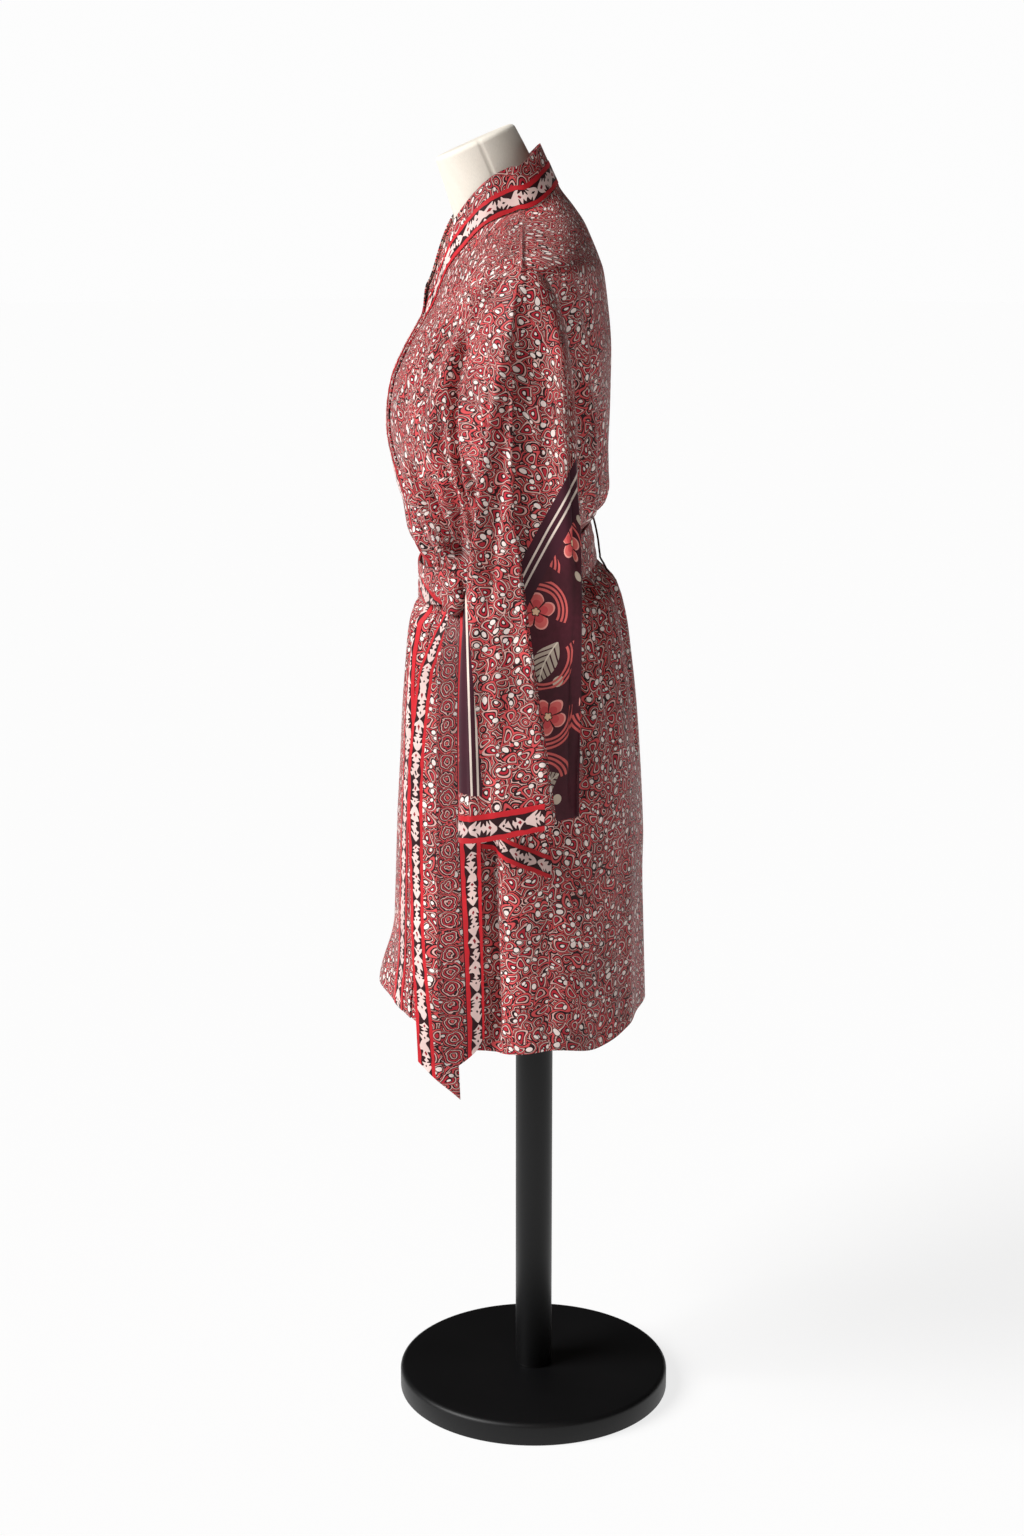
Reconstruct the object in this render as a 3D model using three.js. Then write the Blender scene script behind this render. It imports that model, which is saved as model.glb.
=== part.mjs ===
// A knee-length wrap kimono robe with its tie belt, worn by a limbless dress form on a pole and a round base.
// Millimetres, +Z up. The robe faces -Y and its left side is +X. The origin is the centre of the underside of the base.
import * as THREE from 'three';

// ---------------------------------------------------------------- stand
const BASE_RADIUS = 160;
const BASE_HEIGHT = 27;
const BASE_ROUND = 6;
const POLE_RADIUS = 21.5;
const FORM_BOTTOM = 700;
const SEAT_GAP = 0.3;

// ---------------------------------------------------------------- cloth
const CLOTH = 1.5;
const BAND_CLOTH = 1.5;
const TRIM = 1;
const TRIM_GAP = 0.3;
const STAND_ROOM = 0.7;
const SEAM_GAP = 0.3;
const WRAP_LIFT = 4.2;
const NECKBAND_WIDTH = 46;
const BORDER_WIDTH = 26;
const CUFF_BORDER = 25;
const HEM = 490;
const UNDERARM = 1085;
const SHOULDER = 1345;
const NECK = 1394;
const BELT_HEIGHT = 1010;
const BELT_WIDTH = 44;
const BELT_CLOTH = 2.5;

// Rings of the robe from hem to neck seam. h: height at the side. half: half width. front, back: y of the front and
// the back. side: y of the widest point. drop: how far the front lies below h. rise: how far the back lies above it.
// edge: x of the neckband seam on the left front. wrap: x of the neckband seam on the right front, which lies on top.
const RINGS = [
  { h: 490, half: 196, front: -164, back: 129, side: -16, drop: -28, rise: 12, edge: -58, wrap: 82 },
  { h: 560, half: 196, front: -158, back: 128, side: -16, drop: -14, rise: 5, edge: -58, wrap: 80 },
  { h: 640, half: 195, front: -155, back: 126, side: -16, drop: 0, rise: 0, edge: -58, wrap: 77 },
  { h: 720, half: 192, front: -152, back: 123, side: -16, drop: 0, rise: 0, edge: -58, wrap: 73 },
  { h: 790, half: 188, front: -148, back: 119, side: -16, drop: 0, rise: 0, edge: -57, wrap: 68 },
  { h: 850, half: 182, front: -145, back: 114, side: -17, drop: 2, rise: 2, edge: -56, wrap: 62 },
  { h: 900, half: 174, front: -141, back: 107, side: -18, drop: 6, rise: 6, edge: -55, wrap: 57 },
  { h: 945, half: 163, front: -136, back: 98, side: -19, drop: 12, rise: 12, edge: -54, wrap: 54 },
  { h: 968, half: 152, front: -128, back: 85, side: -20, drop: 18, rise: 18, edge: -53, wrap: 51 },
  { h: 980, half: 144, front: -123, back: 73, side: -20, drop: 20, rise: 20, edge: -52, wrap: 50 },
  { h: 988, half: 140, front: -121, back: 65.5, side: -20, drop: 21, rise: 21, edge: -52, wrap: 50 },
  { h: 1010, half: 137, front: -120, back: 61, side: -20, drop: 22, rise: 22, edge: -50, wrap: 48 },
  { h: 1032, half: 139, front: -121, back: 57, side: -20, drop: 22, rise: 22, edge: -47, wrap: 42.5 },
  { h: 1040, half: 143, front: -122, back: 57, side: -20, drop: 21, rise: 21, edge: -45, wrap: 40 },
  { h: 1047, half: 150, front: -126, back: 59, side: -20, drop: 19, rise: 18, edge: -43, wrap: 38 },
  { h: 1062, half: 164, front: -134, back: 70, side: -19, drop: 14, rise: 13, edge: -38, wrap: 33 },
  { h: 1085, half: 177, front: -143, back: 79, side: -18, drop: 6, rise: 5, edge: -30, wrap: 25 },
  { h: 1115, half: 184, front: -152, back: 80, side: -18, drop: 0, rise: 0, edge: -18, wrap: 14 },
  { h: 1160, half: 188, front: -160, back: 82, side: -18, drop: 0, rise: 0, edge: -2, wrap: 2 },
  { h: 1207, half: 190, front: -155, back: 83, side: -18, drop: 0, rise: 0, edge: 13, wrap: -13 },
  { h: 1250, half: 192, front: -141, back: 83, side: -17, drop: 10, rise: 0, edge: 24, wrap: -24 },
  { h: 1290, half: 196, front: -127, back: 79, side: -16, drop: 25, rise: 2, edge: 33, wrap: -33 },
  { h: 1322, half: 201, front: -116, back: 74, side: -15, drop: 38, rise: 2, edge: 39, wrap: -39 },
  { h: 1345, half: 205, front: -110, back: 68, side: -14, drop: 51, rise: -3, edge: 43, wrap: -43 },
  { h: 1357, half: 172, front: -97, back: 60, side: -14, drop: 27, rise: 4, edge: 57, wrap: -57 },
  { h: 1368, half: 138, front: -82, back: 52, side: -14, drop: 15, rise: 10, edge: 66, wrap: -66 },
  { h: 1380, half: 102, front: -67, back: 41, side: -14, drop: 4, rise: 14, edge: 71, wrap: -71 },
  { h: 1394, half: 70, front: -46, back: 24, side: -14, drop: 0, rise: 24, edge: 69.7, wrap: -69.7 },
];
const RING_POWER = 2 / 2.2;
const RISE_POWER = 1.6;

// Heights of the rows of faces in the body panels, and the panels' counts of columns.
const ROWS = [490, 560, 640, 720, 790, 850, 900, 945, 968, 980, 988, 1010, 1032, 1040, 1047,
  1062, 1085, 1095, 1115, 1140, 1170, 1207, 1240, 1270, 1298, 1322, 1338, 1345, 1357, 1368, 1380, 1394];
const BACK_COLUMNS = 18;
const LEFT_COLUMNS = 11;
const RIGHT_COLUMNS = 14;

// Large folds, all round. angle: degrees from centre front towards the robe's left. width: degrees. depth: inwards.
const FOLDS = [
  { angle: 77, width: 9, depth: 15, low: 480, high: 800, lean: -4 },
  { angle: 3, width: 11, depth: -12, low: 470, high: 590, lean: 0 },
  { angle: 128, width: 10, depth: 7, low: 480, high: 900, lean: 6 },
  { angle: 160, width: 9, depth: 5, low: 480, high: 820, lean: -4 },
  { angle: 196, width: 10, depth: 6, low: 480, high: 880, lean: 5 },
  { angle: 232, width: 10, depth: 7, low: 480, high: 900, lean: -6 },
  { angle: 283, width: 10, depth: 11, low: 480, high: 840, lean: 4 },
  { angle: 320, width: 11, depth: 6, low: 480, high: 860, lean: 5 },
];

// Where the hem dips below its ring, all round.
const HEM_WAVES = [
  { angle: 70, width: 10, drop: 3 },
  { angle: 101, width: 13, drop: -6 },
  { angle: 128, width: 13, drop: 9 },
  { angle: 205, width: 16, drop: 5 },
  { angle: 250, width: 14, drop: -5 },
  { angle: 300, width: 15, drop: 6 },
];

// Armhole: how far its front and rear edges lie from the side line, in degrees, at its widest.
const ARMHOLE_FRONT = 24;
const ARMHOLE_REAR = 33;

// Sections of the hanging sleeve from armhole to cuff, each a slanted loop through four points. t: share of the
// length. outX, outZ: the outer point. inX, inZ: the point under the arm. foreY, aftY: front and rear of the loop.
const SLEEVE = [
  { t: 0.0, outX: 212, outZ: 1341, inX: 196, inZ: 1082, foreY: -70, aftY: 40 },
  { t: 0.1, outX: 234, outZ: 1312, inX: 205, inZ: 1070, foreY: -58, aftY: 40 },
  { t: 0.2, outX: 246, outZ: 1262, inX: 209, inZ: 1056, foreY: -57, aftY: 42 },
  { t: 0.3, outX: 253, outZ: 1195, inX: 211, inZ: 1040, foreY: -61, aftY: 43 },
  { t: 0.4, outX: 257, outZ: 1125, inX: 211, inZ: 1016, foreY: -66, aftY: 45 },
  { t: 0.5, outX: 259, outZ: 1055, inX: 211, inZ: 984, foreY: -71, aftY: 46 },
  { t: 0.6, outX: 260, outZ: 990, inX: 210, inZ: 945, foreY: -76, aftY: 47 },
  { t: 0.7, outX: 260, outZ: 925, inX: 209, inZ: 900, foreY: -79, aftY: 47 },
  { t: 0.8, outX: 260, outZ: 865, inX: 208, inZ: 853, foreY: -80, aftY: 47 },
  { t: 0.9, outX: 260, outZ: 811, inX: 207, inZ: 807, foreY: -80, aftY: 46 },
  { t: 1.0, outX: 260, outZ: 762, inX: 207, inZ: 762, foreY: -80, aftY: 46 },
];
const SLEEVE_ROWS = 12;
const SLEEVE_POWER = 0.8;
const CUFF_SLANT = 0.21;
const SLEEVE_TROUGH = 8;

// How the neckband leaves its seam, as a direction, from centre back round the neck and down the front. turn: degrees
// on the neck seam. h: height on the front edge.
const NECK_STATIONS = [
  { turn: 180, x: 0, y: -0.42, z: 0.91 },
  { turn: 158, x: -0.05, y: -0.42, z: 0.91 },
  { turn: 135, x: -0.12, y: -0.4, z: 0.91 },
  { turn: 112, x: -0.18, y: -0.34, z: 0.92 },
];
const FRONT_STATIONS = [
  { h: 1270, x: -0.91, y: -0.03, z: 0.41 },
  { h: 1298, x: -0.89, y: -0.03, z: 0.45 },
  { h: 1322, x: -0.85, y: -0.02, z: 0.52 },
  { h: 1345, x: -0.77, y: 0, z: 0.64 },
  { h: 1357, x: -0.62, y: -0.02, z: 0.78 },
  { h: 1368, x: -0.42, y: -0.03, z: 0.91 },
  { h: 1380, x: -0.24, y: 0, z: 0.97 },
  { h: 1394, x: -0.17, y: -0.2, z: 0.96 },
];
const LEAN_START = { left: 1322, right: 1322 };

// How far the form lies inside the robe's rings.
const FORM_INSET = [
  { h: 700, inset: 24 },
  { h: 850, inset: 23 },
  { h: 945, inset: 16 },
  { h: 1010, inset: 8 },
  { h: 1062, inset: 16 },
  { h: 1160, inset: 20 },
  { h: 1250, inset: 18 },
  { h: 1298, inset: 16 },
  { h: 1322, inset: 11 },
  { h: 1345, inset: 5 },
  { h: 1357, inset: 2.5 },
];
const FORM_ROWS = [700, 760, 850, 900, 945, 980, 1010, 1040, 1062, 1100, 1160, 1207, 1250, 1298, 1322, 1338, 1345,
  1351, 1357];
const FORM_SIDES = 40;
// Rings of the neck: y and z of its front, y and z of its back, and its half width.
const NECK_RINGS = [
  { foreY: -86, foreZ: 1346, aftY: 14, aftZ: 1406, half: 60 },
  { foreY: -87, foreZ: 1376, aftY: 2, aftZ: 1430, half: 51 },
  { foreY: -97, foreZ: 1410, aftY: -9, aftZ: 1453, half: 48 },
  { foreY: -107, foreZ: 1440, aftY: -22, aftZ: 1477, half: 48 },
];
const CAP_HEIGHT = 6;

// Belt tails. foot: height of the cut end at the centre line. slant: how much higher its rear corner is. The rows give
// y of the centre line on the skirt, how far it stands off, how much further the front edge stands off than the rear
// edge, and the width.
const TAILS = {
  belt_tail_a: {
    foot: 446,
    slant: -32,
    rows: [
      { h: 409, y: -98, lift: 12, flare: 17, width: 39.5 },
      { h: 520, y: -102, lift: 12, flare: 17, width: 39.5 },
      { h: 650, y: -110, lift: 12, flare: 14, width: 39.5 },
      { h: 790, y: -111, lift: 11.5, flare: 12, width: 39.5 },
      { h: 905, y: -102, lift: 10, flare: 9, width: 38 },
      { h: 945, y: -92, lift: 9, flare: 4, width: 34 },
      { h: 975, y: -82, lift: 9, flare: 0, width: 28 },
      { h: 1003, y: -74, lift: 10.3, flare: 0, width: 20 },
    ],
  },
  belt_tail_b: {
    foot: 482,
    slant: 53,
    rows: [
      { h: 409, y: -75, lift: 12.5, flare: 9, width: 47 },
      { h: 800, y: -75, lift: 12.5, flare: 9, width: 47 },
      { h: 905, y: -76, lift: 14, flare: 5, width: 43 },
      { h: 945, y: -75, lift: 13.5, flare: 2, width: 36 },
      { h: 975, y: -74, lift: 12.5, flare: 0, width: 28 },
      { h: 1003, y: -73, lift: 13.6, flare: 0, width: 20 },
    ],
  },
};
const TAIL_ROWS = 14;
const KNOT = { y: -73, h: 1001, lift: 14.2, width: 31, height: 46, depth: 19 };
const LOOP_RADIUS = 1.2;
// The thread loop at centre back, by ring height and by how far its centre line stands off the robe.
const LOOP_ROWS = [
  { h: 1052, lift: 1.6 },
  { h: 1044, lift: 4 },
  { h: 1030, lift: 7.6 },
  { h: 1010, lift: 8.4 },
  { h: 990, lift: 7.6 },
  { h: 980, lift: 4.5 },
  { h: 972, lift: 1.7 },
];
const POCKET = { foreY: -66, aftY: 18, foreH: 742, aftH: 706, width: 26, columns: 12 };

// ================================================================ shared geometry
const degrees = (angle) => (angle * Math.PI) / 180;
const clamp = (value) => Math.min(1, Math.max(0, value));
const smooth = (value) => clamp(value) ** 2 * (3 - 2 * clamp(value));
const signedPower = (value, power) => Math.sign(value) * Math.abs(value) ** power;
const range = (count) => Array.from({ length: count + 1 }, (_, i) => i / count);

// A smooth value from one column of a table, held level past the table's ends.
function column(table, key, at, name) {
  const last = table.length - 1;
  if (at <= table[0][key]) return table[0][name];
  if (at >= table[last][key]) return table[last][name];
  const i = table.findIndex((row, k) => k < last && at < table[k + 1][key]);
  const slope = (k) => {
    if (k <= 0 || k >= last) return 0;
    const rise = table[k + 1][name] - table[k - 1][name];
    return rise / (table[k + 1][key] - table[k - 1][key]);
  };
  const span = table[i + 1][key] - table[i][key];
  const s = (at - table[i][key]) / span;
  const a = table[i][name];
  const b = table[i + 1][name];
  return a * (1 + 2 * s) * (1 - s) ** 2 + b * s ** 2 * (3 - 2 * s)
    + span * (slope(i) * s * (1 - s) ** 2 - slope(i + 1) * s ** 2 * (1 - s));
}

// A point on the robe without its folds. turn is in degrees from centre front towards the robe's left.
const bump = (row, turn) => Math.exp(-(((((turn - row.angle + 540) % 360) - 180) / row.width) ** 2));
const hemWave = (turn) => HEM_WAVES.reduce((sum, row) => sum + row.drop * bump(row, turn), 0);

function plainRobe(h, turn) {
  const value = (name) => column(RINGS, 'h', h, name);
  const c = Math.cos(degrees(turn));
  const s = Math.sin(degrees(turn));
  const side = value('side');
  const reach = c > 0 ? side - value('front') : value('back') - side;
  const climb = c > 0 ? -value('drop') : value('rise');
  return new THREE.Vector3(
    value('half') * signedPower(s, RING_POWER),
    side - reach * signedPower(c, RING_POWER),
    h + climb * Math.abs(c) ** RISE_POWER - hemWave(turn) * smooth((640 - h) / 150),
  );
}

function foldDepth(h, turn) {
  let depth = 0;
  for (const fold of FOLDS) {
    const climb = clamp((h - fold.low) / (fold.high - fold.low));
    depth += fold.depth * (1 - smooth(climb)) * bump(fold, turn - fold.lean * climb);
  }
  return depth;
}

function robe(h, turn) {
  const point = plainRobe(h, turn);
  const side = column(RINGS, 'h', h, 'side');
  const outward = new THREE.Vector3(point.x, 1.4 * (point.y - side), 0).normalize();
  return point.addScaledVector(outward, -foldDepth(h, turn));
}

// The angle at which the robe's ring at height h has this x, on its front half.
function turnAtX(h, x) {
  const share = x / column(RINGS, 'h', h, 'half');
  return THREE.MathUtils.radToDeg(Math.asin(signedPower(share, 1 / RING_POWER)));
}

// The angle at which the robe's ring at height h has this y, on its left side.
function turnAtY(h, y) {
  const side = column(RINGS, 'h', h, 'side');
  const reach = y < side ? side - column(RINGS, 'h', h, 'front') : column(RINGS, 'h', h, 'back') - side;
  return THREE.MathUtils.radToDeg(Math.acos(signedPower((side - y) / reach, 1 / RING_POWER)));
}

function normalAt(surface, u, v, stepU, stepV) {
  const alongU = surface(u + stepU, v).sub(surface(u - stepU, v));
  const alongV = surface(u, v + stepV).sub(surface(u, v - stepV));
  return alongV.cross(alongU).normalize();
}

const robeNormal = (h, turn) => normalAt(robe, Math.min(h, NECK - 1), turn, 1, 0.5);

function robePoint(h, turn, lift) {
  return robe(h, turn).addScaledVector(robeNormal(h, turn), lift);
}

// A closed wall between two grids of points of the same size. A ring joins its last column to its first.
function wall(outer, inner, ring = false) {
  const rows = outer.length;
  const columns = outer[0].length;
  const positions = [...outer.flat(), ...inner.flat()].flatMap((p) => [p.x, p.y, p.z]);
  const index = [];
  const at = (layer, row, col) => layer * rows * columns + row * columns + (col % columns);
  const quad = (a, b, c, d) => index.push(a, b, c, a, c, d);
  const steps = ring ? columns : columns - 1;
  for (let col = 0; col < steps; col += 1) {
    for (let row = 0; row < rows - 1; row += 1) {
      quad(at(0, row, col), at(0, row, col + 1), at(0, row + 1, col + 1), at(0, row + 1, col));
      quad(at(1, row, col), at(1, row + 1, col), at(1, row + 1, col + 1), at(1, row, col + 1));
    }
    quad(at(1, 0, col), at(1, 0, col + 1), at(0, 0, col + 1), at(0, 0, col));
    const top = rows - 1;
    quad(at(0, top, col), at(0, top, col + 1), at(1, top, col + 1), at(1, top, col));
  }
  for (let row = 0; row < rows - 1 && !ring; row += 1) {
    const end = columns - 1;
    quad(at(1, row, 0), at(0, row, 0), at(0, row + 1, 0), at(1, row + 1, 0));
    quad(at(0, row, end), at(1, row, end), at(1, row + 1, end), at(0, row + 1, end));
  }
  return facingOut(positions, index);
}

// A closed solid from a stack of rings, with a flat fan at each end.
function stack(rings) {
  const sides = rings[0].length;
  const centres = [rings[0], rings[rings.length - 1]].map((ring) => ring
    .reduce((sum, p) => sum.add(p), new THREE.Vector3()).divideScalar(sides));
  const positions = [...rings.flat(), ...centres].flatMap((p) => [p.x, p.y, p.z]);
  const index = [];
  const at = (row, col) => row * sides + (col % sides);
  const top = rings.length - 1;
  const foot = rings.length * sides;
  for (let col = 0; col < sides; col += 1) {
    for (let row = 0; row < top; row += 1) {
      index.push(at(row, col), at(row, col + 1), at(row + 1, col + 1));
      index.push(at(row, col), at(row + 1, col + 1), at(row + 1, col));
    }
    index.push(foot, at(0, col + 1), at(0, col));
    index.push(foot + 1, at(top, col), at(top, col + 1));
  }
  return facingOut(positions, index);
}

function facingOut(positions, index) {
  const corner = (i) => new THREE.Vector3().fromArray(positions, 3 * i);
  let volume = 0;
  for (let i = 0; i < index.length; i += 3) {
    volume += corner(index[i]).dot(corner(index[i + 1]).cross(corner(index[i + 2])));
  }
  if (volume < 0) index.reverse();
  const geometry = new THREE.BufferGeometry();
  geometry.setAttribute('position', new THREE.Float32BufferAttribute(positions, 3));
  geometry.setIndex(index);
  geometry.computeVertexNormals();
  return geometry;
}

// A panel on the robe: a start and an end angle for each height, and how far its outer face lies off the robe.
function robePanel(heights, columns, turns, lift, thickness) {
  const grid = (depth) => heights.map((h) => {
    const [start, end] = turns(h);
    return range(columns).map((share) => {
      const turn = start + (end - start) * share;
      return robePoint(h, turn, lift(h, turn) - depth);
    });
  });
  return wall(grid(0), grid(thickness));
}

// ================================================================ robe panels
const gapTurn = (h) => THREE.MathUtils.radToDeg(SEAM_GAP / 2 / column(RINGS, 'h', h, 'half'));
const seamTurn = (h) => 90 + 11 * smooth((UNDERARM - h) / 280);

// How far the armhole's edges lie from the side line, in degrees, times its widest.
function armhole(h) {
  const climb = clamp((h - UNDERARM) / (SHOULDER - UNDERARM));
  return Math.sqrt(1 - (2 * climb - 1) ** 2) ** 0.9;
}

const frontEnd = (h) => (h > UNDERARM && h < SHOULDER ? 90 - ARMHOLE_FRONT * armhole(h) : seamTurn(h)) - gapTurn(h);
const backStart = (h) => (h > UNDERARM && h < SHOULDER ? 90 + ARMHOLE_REAR * armhole(h) : seamTurn(h)) + gapTurn(h);
const leftEdge = (h) => turnAtX(h, column(RINGS, 'h', h, 'edge'));
const rightEdge = (h) => turnAtX(h, column(RINGS, 'h', h, 'wrap'));
const bandGap = (h, turn) => gapTurn(h) / Math.max(0.2, Math.cos(degrees(turn)));

// The right front lies on top of the left one and comes down to the back panel's level towards its side seam.
const wrapLift = (h, turn) => WRAP_LIFT * smooth((turn + 82) / 40) * smooth((NECK + 6 - h) / 50);

const makeBack = () => robePanel(ROWS, BACK_COLUMNS, (h) => [backStart(h), 360 - backStart(h)], () => 0, CLOTH);

const makeLeftFront = () => robePanel(ROWS, LEFT_COLUMNS, (h) => {
  const edge = leftEdge(h);
  return [Math.min(edge + bandGap(h, edge), frontEnd(h) - 2), frontEnd(h)];
}, () => 0, CLOTH);

const makeRightFront = () => robePanel(ROWS, RIGHT_COLUMNS, (h) => {
  const edge = rightEdge(h);
  return [-frontEnd(h), Math.max(edge - bandGap(h, edge), 2 - frontEnd(h))];
}, wrapLift, CLOTH);

// ================================================================ neckband
// Stations along one side's neckband, from the hem up the front edge and round to centre back. Each gives a function
// of the distance from the seam and the lift off the cloth. side is 1 for the left, -1 for the right.
function bandStations(side) {
  const lift = side > 0 ? () => 0 : wrapLift;
  const seamX = (h) => column(RINGS, 'h', h, side > 0 ? 'edge' : 'wrap');
  const leanStart = side > 0 ? LEAN_START.left : LEAN_START.right;
  const stations = ROWS.filter((h) => h < leanStart).map((h) => (reach, off) => {
    const start = turnAtX(h, seamX(h));
    const perDegree = robe(h, start + 0.5).distanceTo(robe(h, start - 0.5));
    const slope = (side * (seamX(h + 4) - seamX(h - 4))) / 8;
    const across = 1 / Math.hypot(1, slope);
    const turn = start - (side * reach * across) / perDegree;
    return robePoint(Math.max(h + slope * across * reach, HEM), turn, lift(h, start) + off);
  });
  const lean = (row, seam) => (reach, off) => {
    const away = new THREE.Vector3(side * row.x, row.y, row.z).normalize();
    const along = seam.ahead.clone().sub(seam.behind).normalize();
    const outward = away.clone().cross(along).multiplyScalar(-side).normalize();
    return seam.at.clone().addScaledVector(away, reach + STAND_ROOM).addScaledVector(outward, off);
  };
  for (const h of ROWS.filter((height) => height >= leanStart)) {
    const seamAt = (height) => robePoint(height, turnAtX(height, seamX(height)), lift(height, 0));
    const seam = { at: seamAt(h), behind: seamAt(h - 6), ahead: seamAt(Math.min(h + 6, NECK)) };
    const value = (name) => column(FRONT_STATIONS, 'h', h, name);
    stations.push(lean({ x: value('x'), y: value('y'), z: value('z') }, seam));
  }
  for (const row of [...NECK_STATIONS].reverse()) {
    const seamAt = (turn) => robe(NECK, side * turn);
    const seam = { at: seamAt(row.turn), behind: seamAt(row.turn - 6), ahead: seamAt(row.turn + 6) };
    stations.push(lean(row, seam));
  }
  return stations;
}

// A strip of the neckband through some distances from its seam. The centre back ends stop short of each other.
function bandStrip(side, reaches, lift, thickness) {
  const stations = bandStations(side);
  const grid = (depth) => stations.map((station, i) => reaches.map((reach) => {
    const point = station(reach, lift - depth);
    const last = i === stations.length - 1;
    return last ? point.setX(side * SEAM_GAP / 2) : point;
  }));
  return wall(grid(0), grid(thickness));
}

const BORDER_REACHES = [1, BORDER_WIDTH / 2, BORDER_WIDTH];
const makeNeckband = (side) => bandStrip(side, [SEAM_GAP / 2, ...BORDER_REACHES, NECKBAND_WIDTH], 0, BAND_CLOTH);
const makeBorder = (side) => bandStrip(side, BORDER_REACHES, TRIM_GAP + TRIM, TRIM);

// ================================================================ sleeves
// The sleeve's loop starts at the shoulder, runs down the front of the armhole and comes up its rear. The points of
// the armhole are those of the body panels' edges.
const armRows = ROWS.filter((h) => h > UNDERARM && h < SHOULDER);
const LOOP = [
  { h: SHOULDER, way: 0 },
  ...[...armRows].reverse().map((h) => ({ h, way: -1 })),
  { h: UNDERARM, way: 0 },
  ...armRows.map((h) => ({ h, way: 1 })),
];

function loopAngle(place) {
  const climb = (place.h - UNDERARM) / (SHOULDER - UNDERARM);
  const angle = Math.acos(2 * climb - 1);
  return place.way > 0 ? -angle : angle;
}

function armholePoint(place) {
  const spread = place.way < 0 ? ARMHOLE_FRONT : ARMHOLE_REAR;
  const rim = robe(place.h, 90 + place.way * spread * armhole(place.h));
  const centre = robe((SHOULDER + UNDERARM) / 2, 90);
  const inward = centre.sub(rim).setX(0).normalize();
  return rim.addScaledVector(inward, SEAM_GAP);
}

// A point of the hanging tube, at share t of its length and at an angle round it: 0 outside, 90 degrees in front.
function sleeveTube(t, angle) {
  const value = (name) => column(SLEEVE, 't', t, name);
  const c = signedPower(Math.cos(angle), SLEEVE_POWER);
  const s = signedPower(Math.sin(angle), SLEEVE_POWER);
  const midY = (value('foreY') + value('aftY')) / 2;
  const y = midY + (s > 0 ? value('foreY') - midY : midY - value('aftY')) * s;
  const share = (1 + c) / 2;
  const x = value('inX') + (value('outX') - value('inX')) * share;
  const z = value('inZ') + (value('outZ') - value('inZ')) * share + CUFF_SLANT * (y - midY) * smooth(t * 2 - 1);
  const hollow = Math.exp(-(((THREE.MathUtils.radToDeg(angle) + 38) / 24) ** 2)) * smooth(t * 3 - 0.3);
  return new THREE.Vector3(x - SLEEVE_TROUGH * hollow, y, z);
}

function sleeveSurface(t, place) {
  const rim = armholePoint(place);
  const tube = sleeveTube(t, loopAngle(place));
  return rim.lerp(tube, smooth(t / 0.16));
}

function sleeveGrid(shares, lift) {
  return shares.map((t) => LOOP.map((place, i) => {
    const before = LOOP[(i + LOOP.length - 1) % LOOP.length];
    const after = LOOP[(i + 1) % LOOP.length];
    const round = sleeveSurface(t, after).sub(sleeveSurface(t, before));
    const down = sleeveSurface(Math.min(1, t + 0.02), place).sub(sleeveSurface(Math.max(0, t - 0.02), place));
    return sleeveSurface(t, place).addScaledVector(round.cross(down).normalize(), lift);
  }));
}

const mirrored = (grid, side) => grid.map((row) => row.map((p) => p.clone().setX(side * p.x)));

function makeSleeve(side) {
  const shares = [0, 0.035, ...range(SLEEVE_ROWS).slice(1)];
  return wall(mirrored(sleeveGrid(shares, 0), side), mirrored(sleeveGrid(shares, -CLOTH), side), true);
}

function makeCuff(side) {
  const length = 565;
  const shares = range(2).map((share) => 1 - (CUFF_BORDER / length) * (1 - share));
  const outer = sleeveGrid(shares, TRIM_GAP + TRIM);
  return wall(mirrored(outer, side), mirrored(sleeveGrid(shares, TRIM_GAP), side), true);
}

// ================================================================ belt and pocket
// The belt lies close at the sides and the back, and stands off where it passes over the wrapped fronts.
function beltLift(turn) {
  const near = ((turn + 540) % 360) - 180;
  return 1.4 + 6 * smooth((near + 90) / 34) * smooth((60 - near) / 14);
}

function makeBelt() {
  const heights = range(2).map((share) => BELT_HEIGHT + BELT_WIDTH * (share - 0.5));
  const turns = Array.from({ length: 44 }, (_, i) => (i * 360) / 44);
  const grid = (off) => heights.map((h) => turns.map((turn) => robePoint(h, turn, beltLift(turn) + off)));
  return wall(grid(BELT_CLOTH), grid(0), true);
}

function makeTail(name) {
  const tail = TAILS[name];
  const top = tail.rows[tail.rows.length - 1].h;
  const grid = (depth) => range(TAIL_ROWS).map((row) => range(3).map((share) => {
    const foot = tail.foot + tail.slant * (share - 0.5);
    const h = top + (foot - top) * row ** 1.6;
    const value = (key) => column(tail.rows, 'h', h, key);
    const middle = turnAtY(h, value('y'));
    const perDegree = robe(h, middle + 0.5).distanceTo(robe(h, middle - 0.5));
    const off = value('lift') + value('flare') * (0.5 - share) - depth;
    return robePoint(h, middle + ((share - 0.5) * value('width')) / perDegree, off);
  }));
  return wall(grid(0), grid(BELT_CLOTH));
}

function makeKnot() {
  const turn = turnAtY(KNOT.h, KNOT.y);
  const centre = robePoint(KNOT.h, turn, KNOT.lift + KNOT.depth / 2);
  const outward = robeNormal(KNOT.h, turn).setZ(0).normalize();
  const geometry = new THREE.SphereGeometry(0.5, 18, 12);
  geometry.scale(KNOT.width, KNOT.height, KNOT.depth);
  const place = new THREE.Matrix4().makeBasis(
    new THREE.Vector3(-outward.y, outward.x, 0),
    new THREE.Vector3(0, 0, 1),
    outward,
  );
  return geometry.applyMatrix4(place).translate(centre.x, centre.y, centre.z);
}

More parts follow.
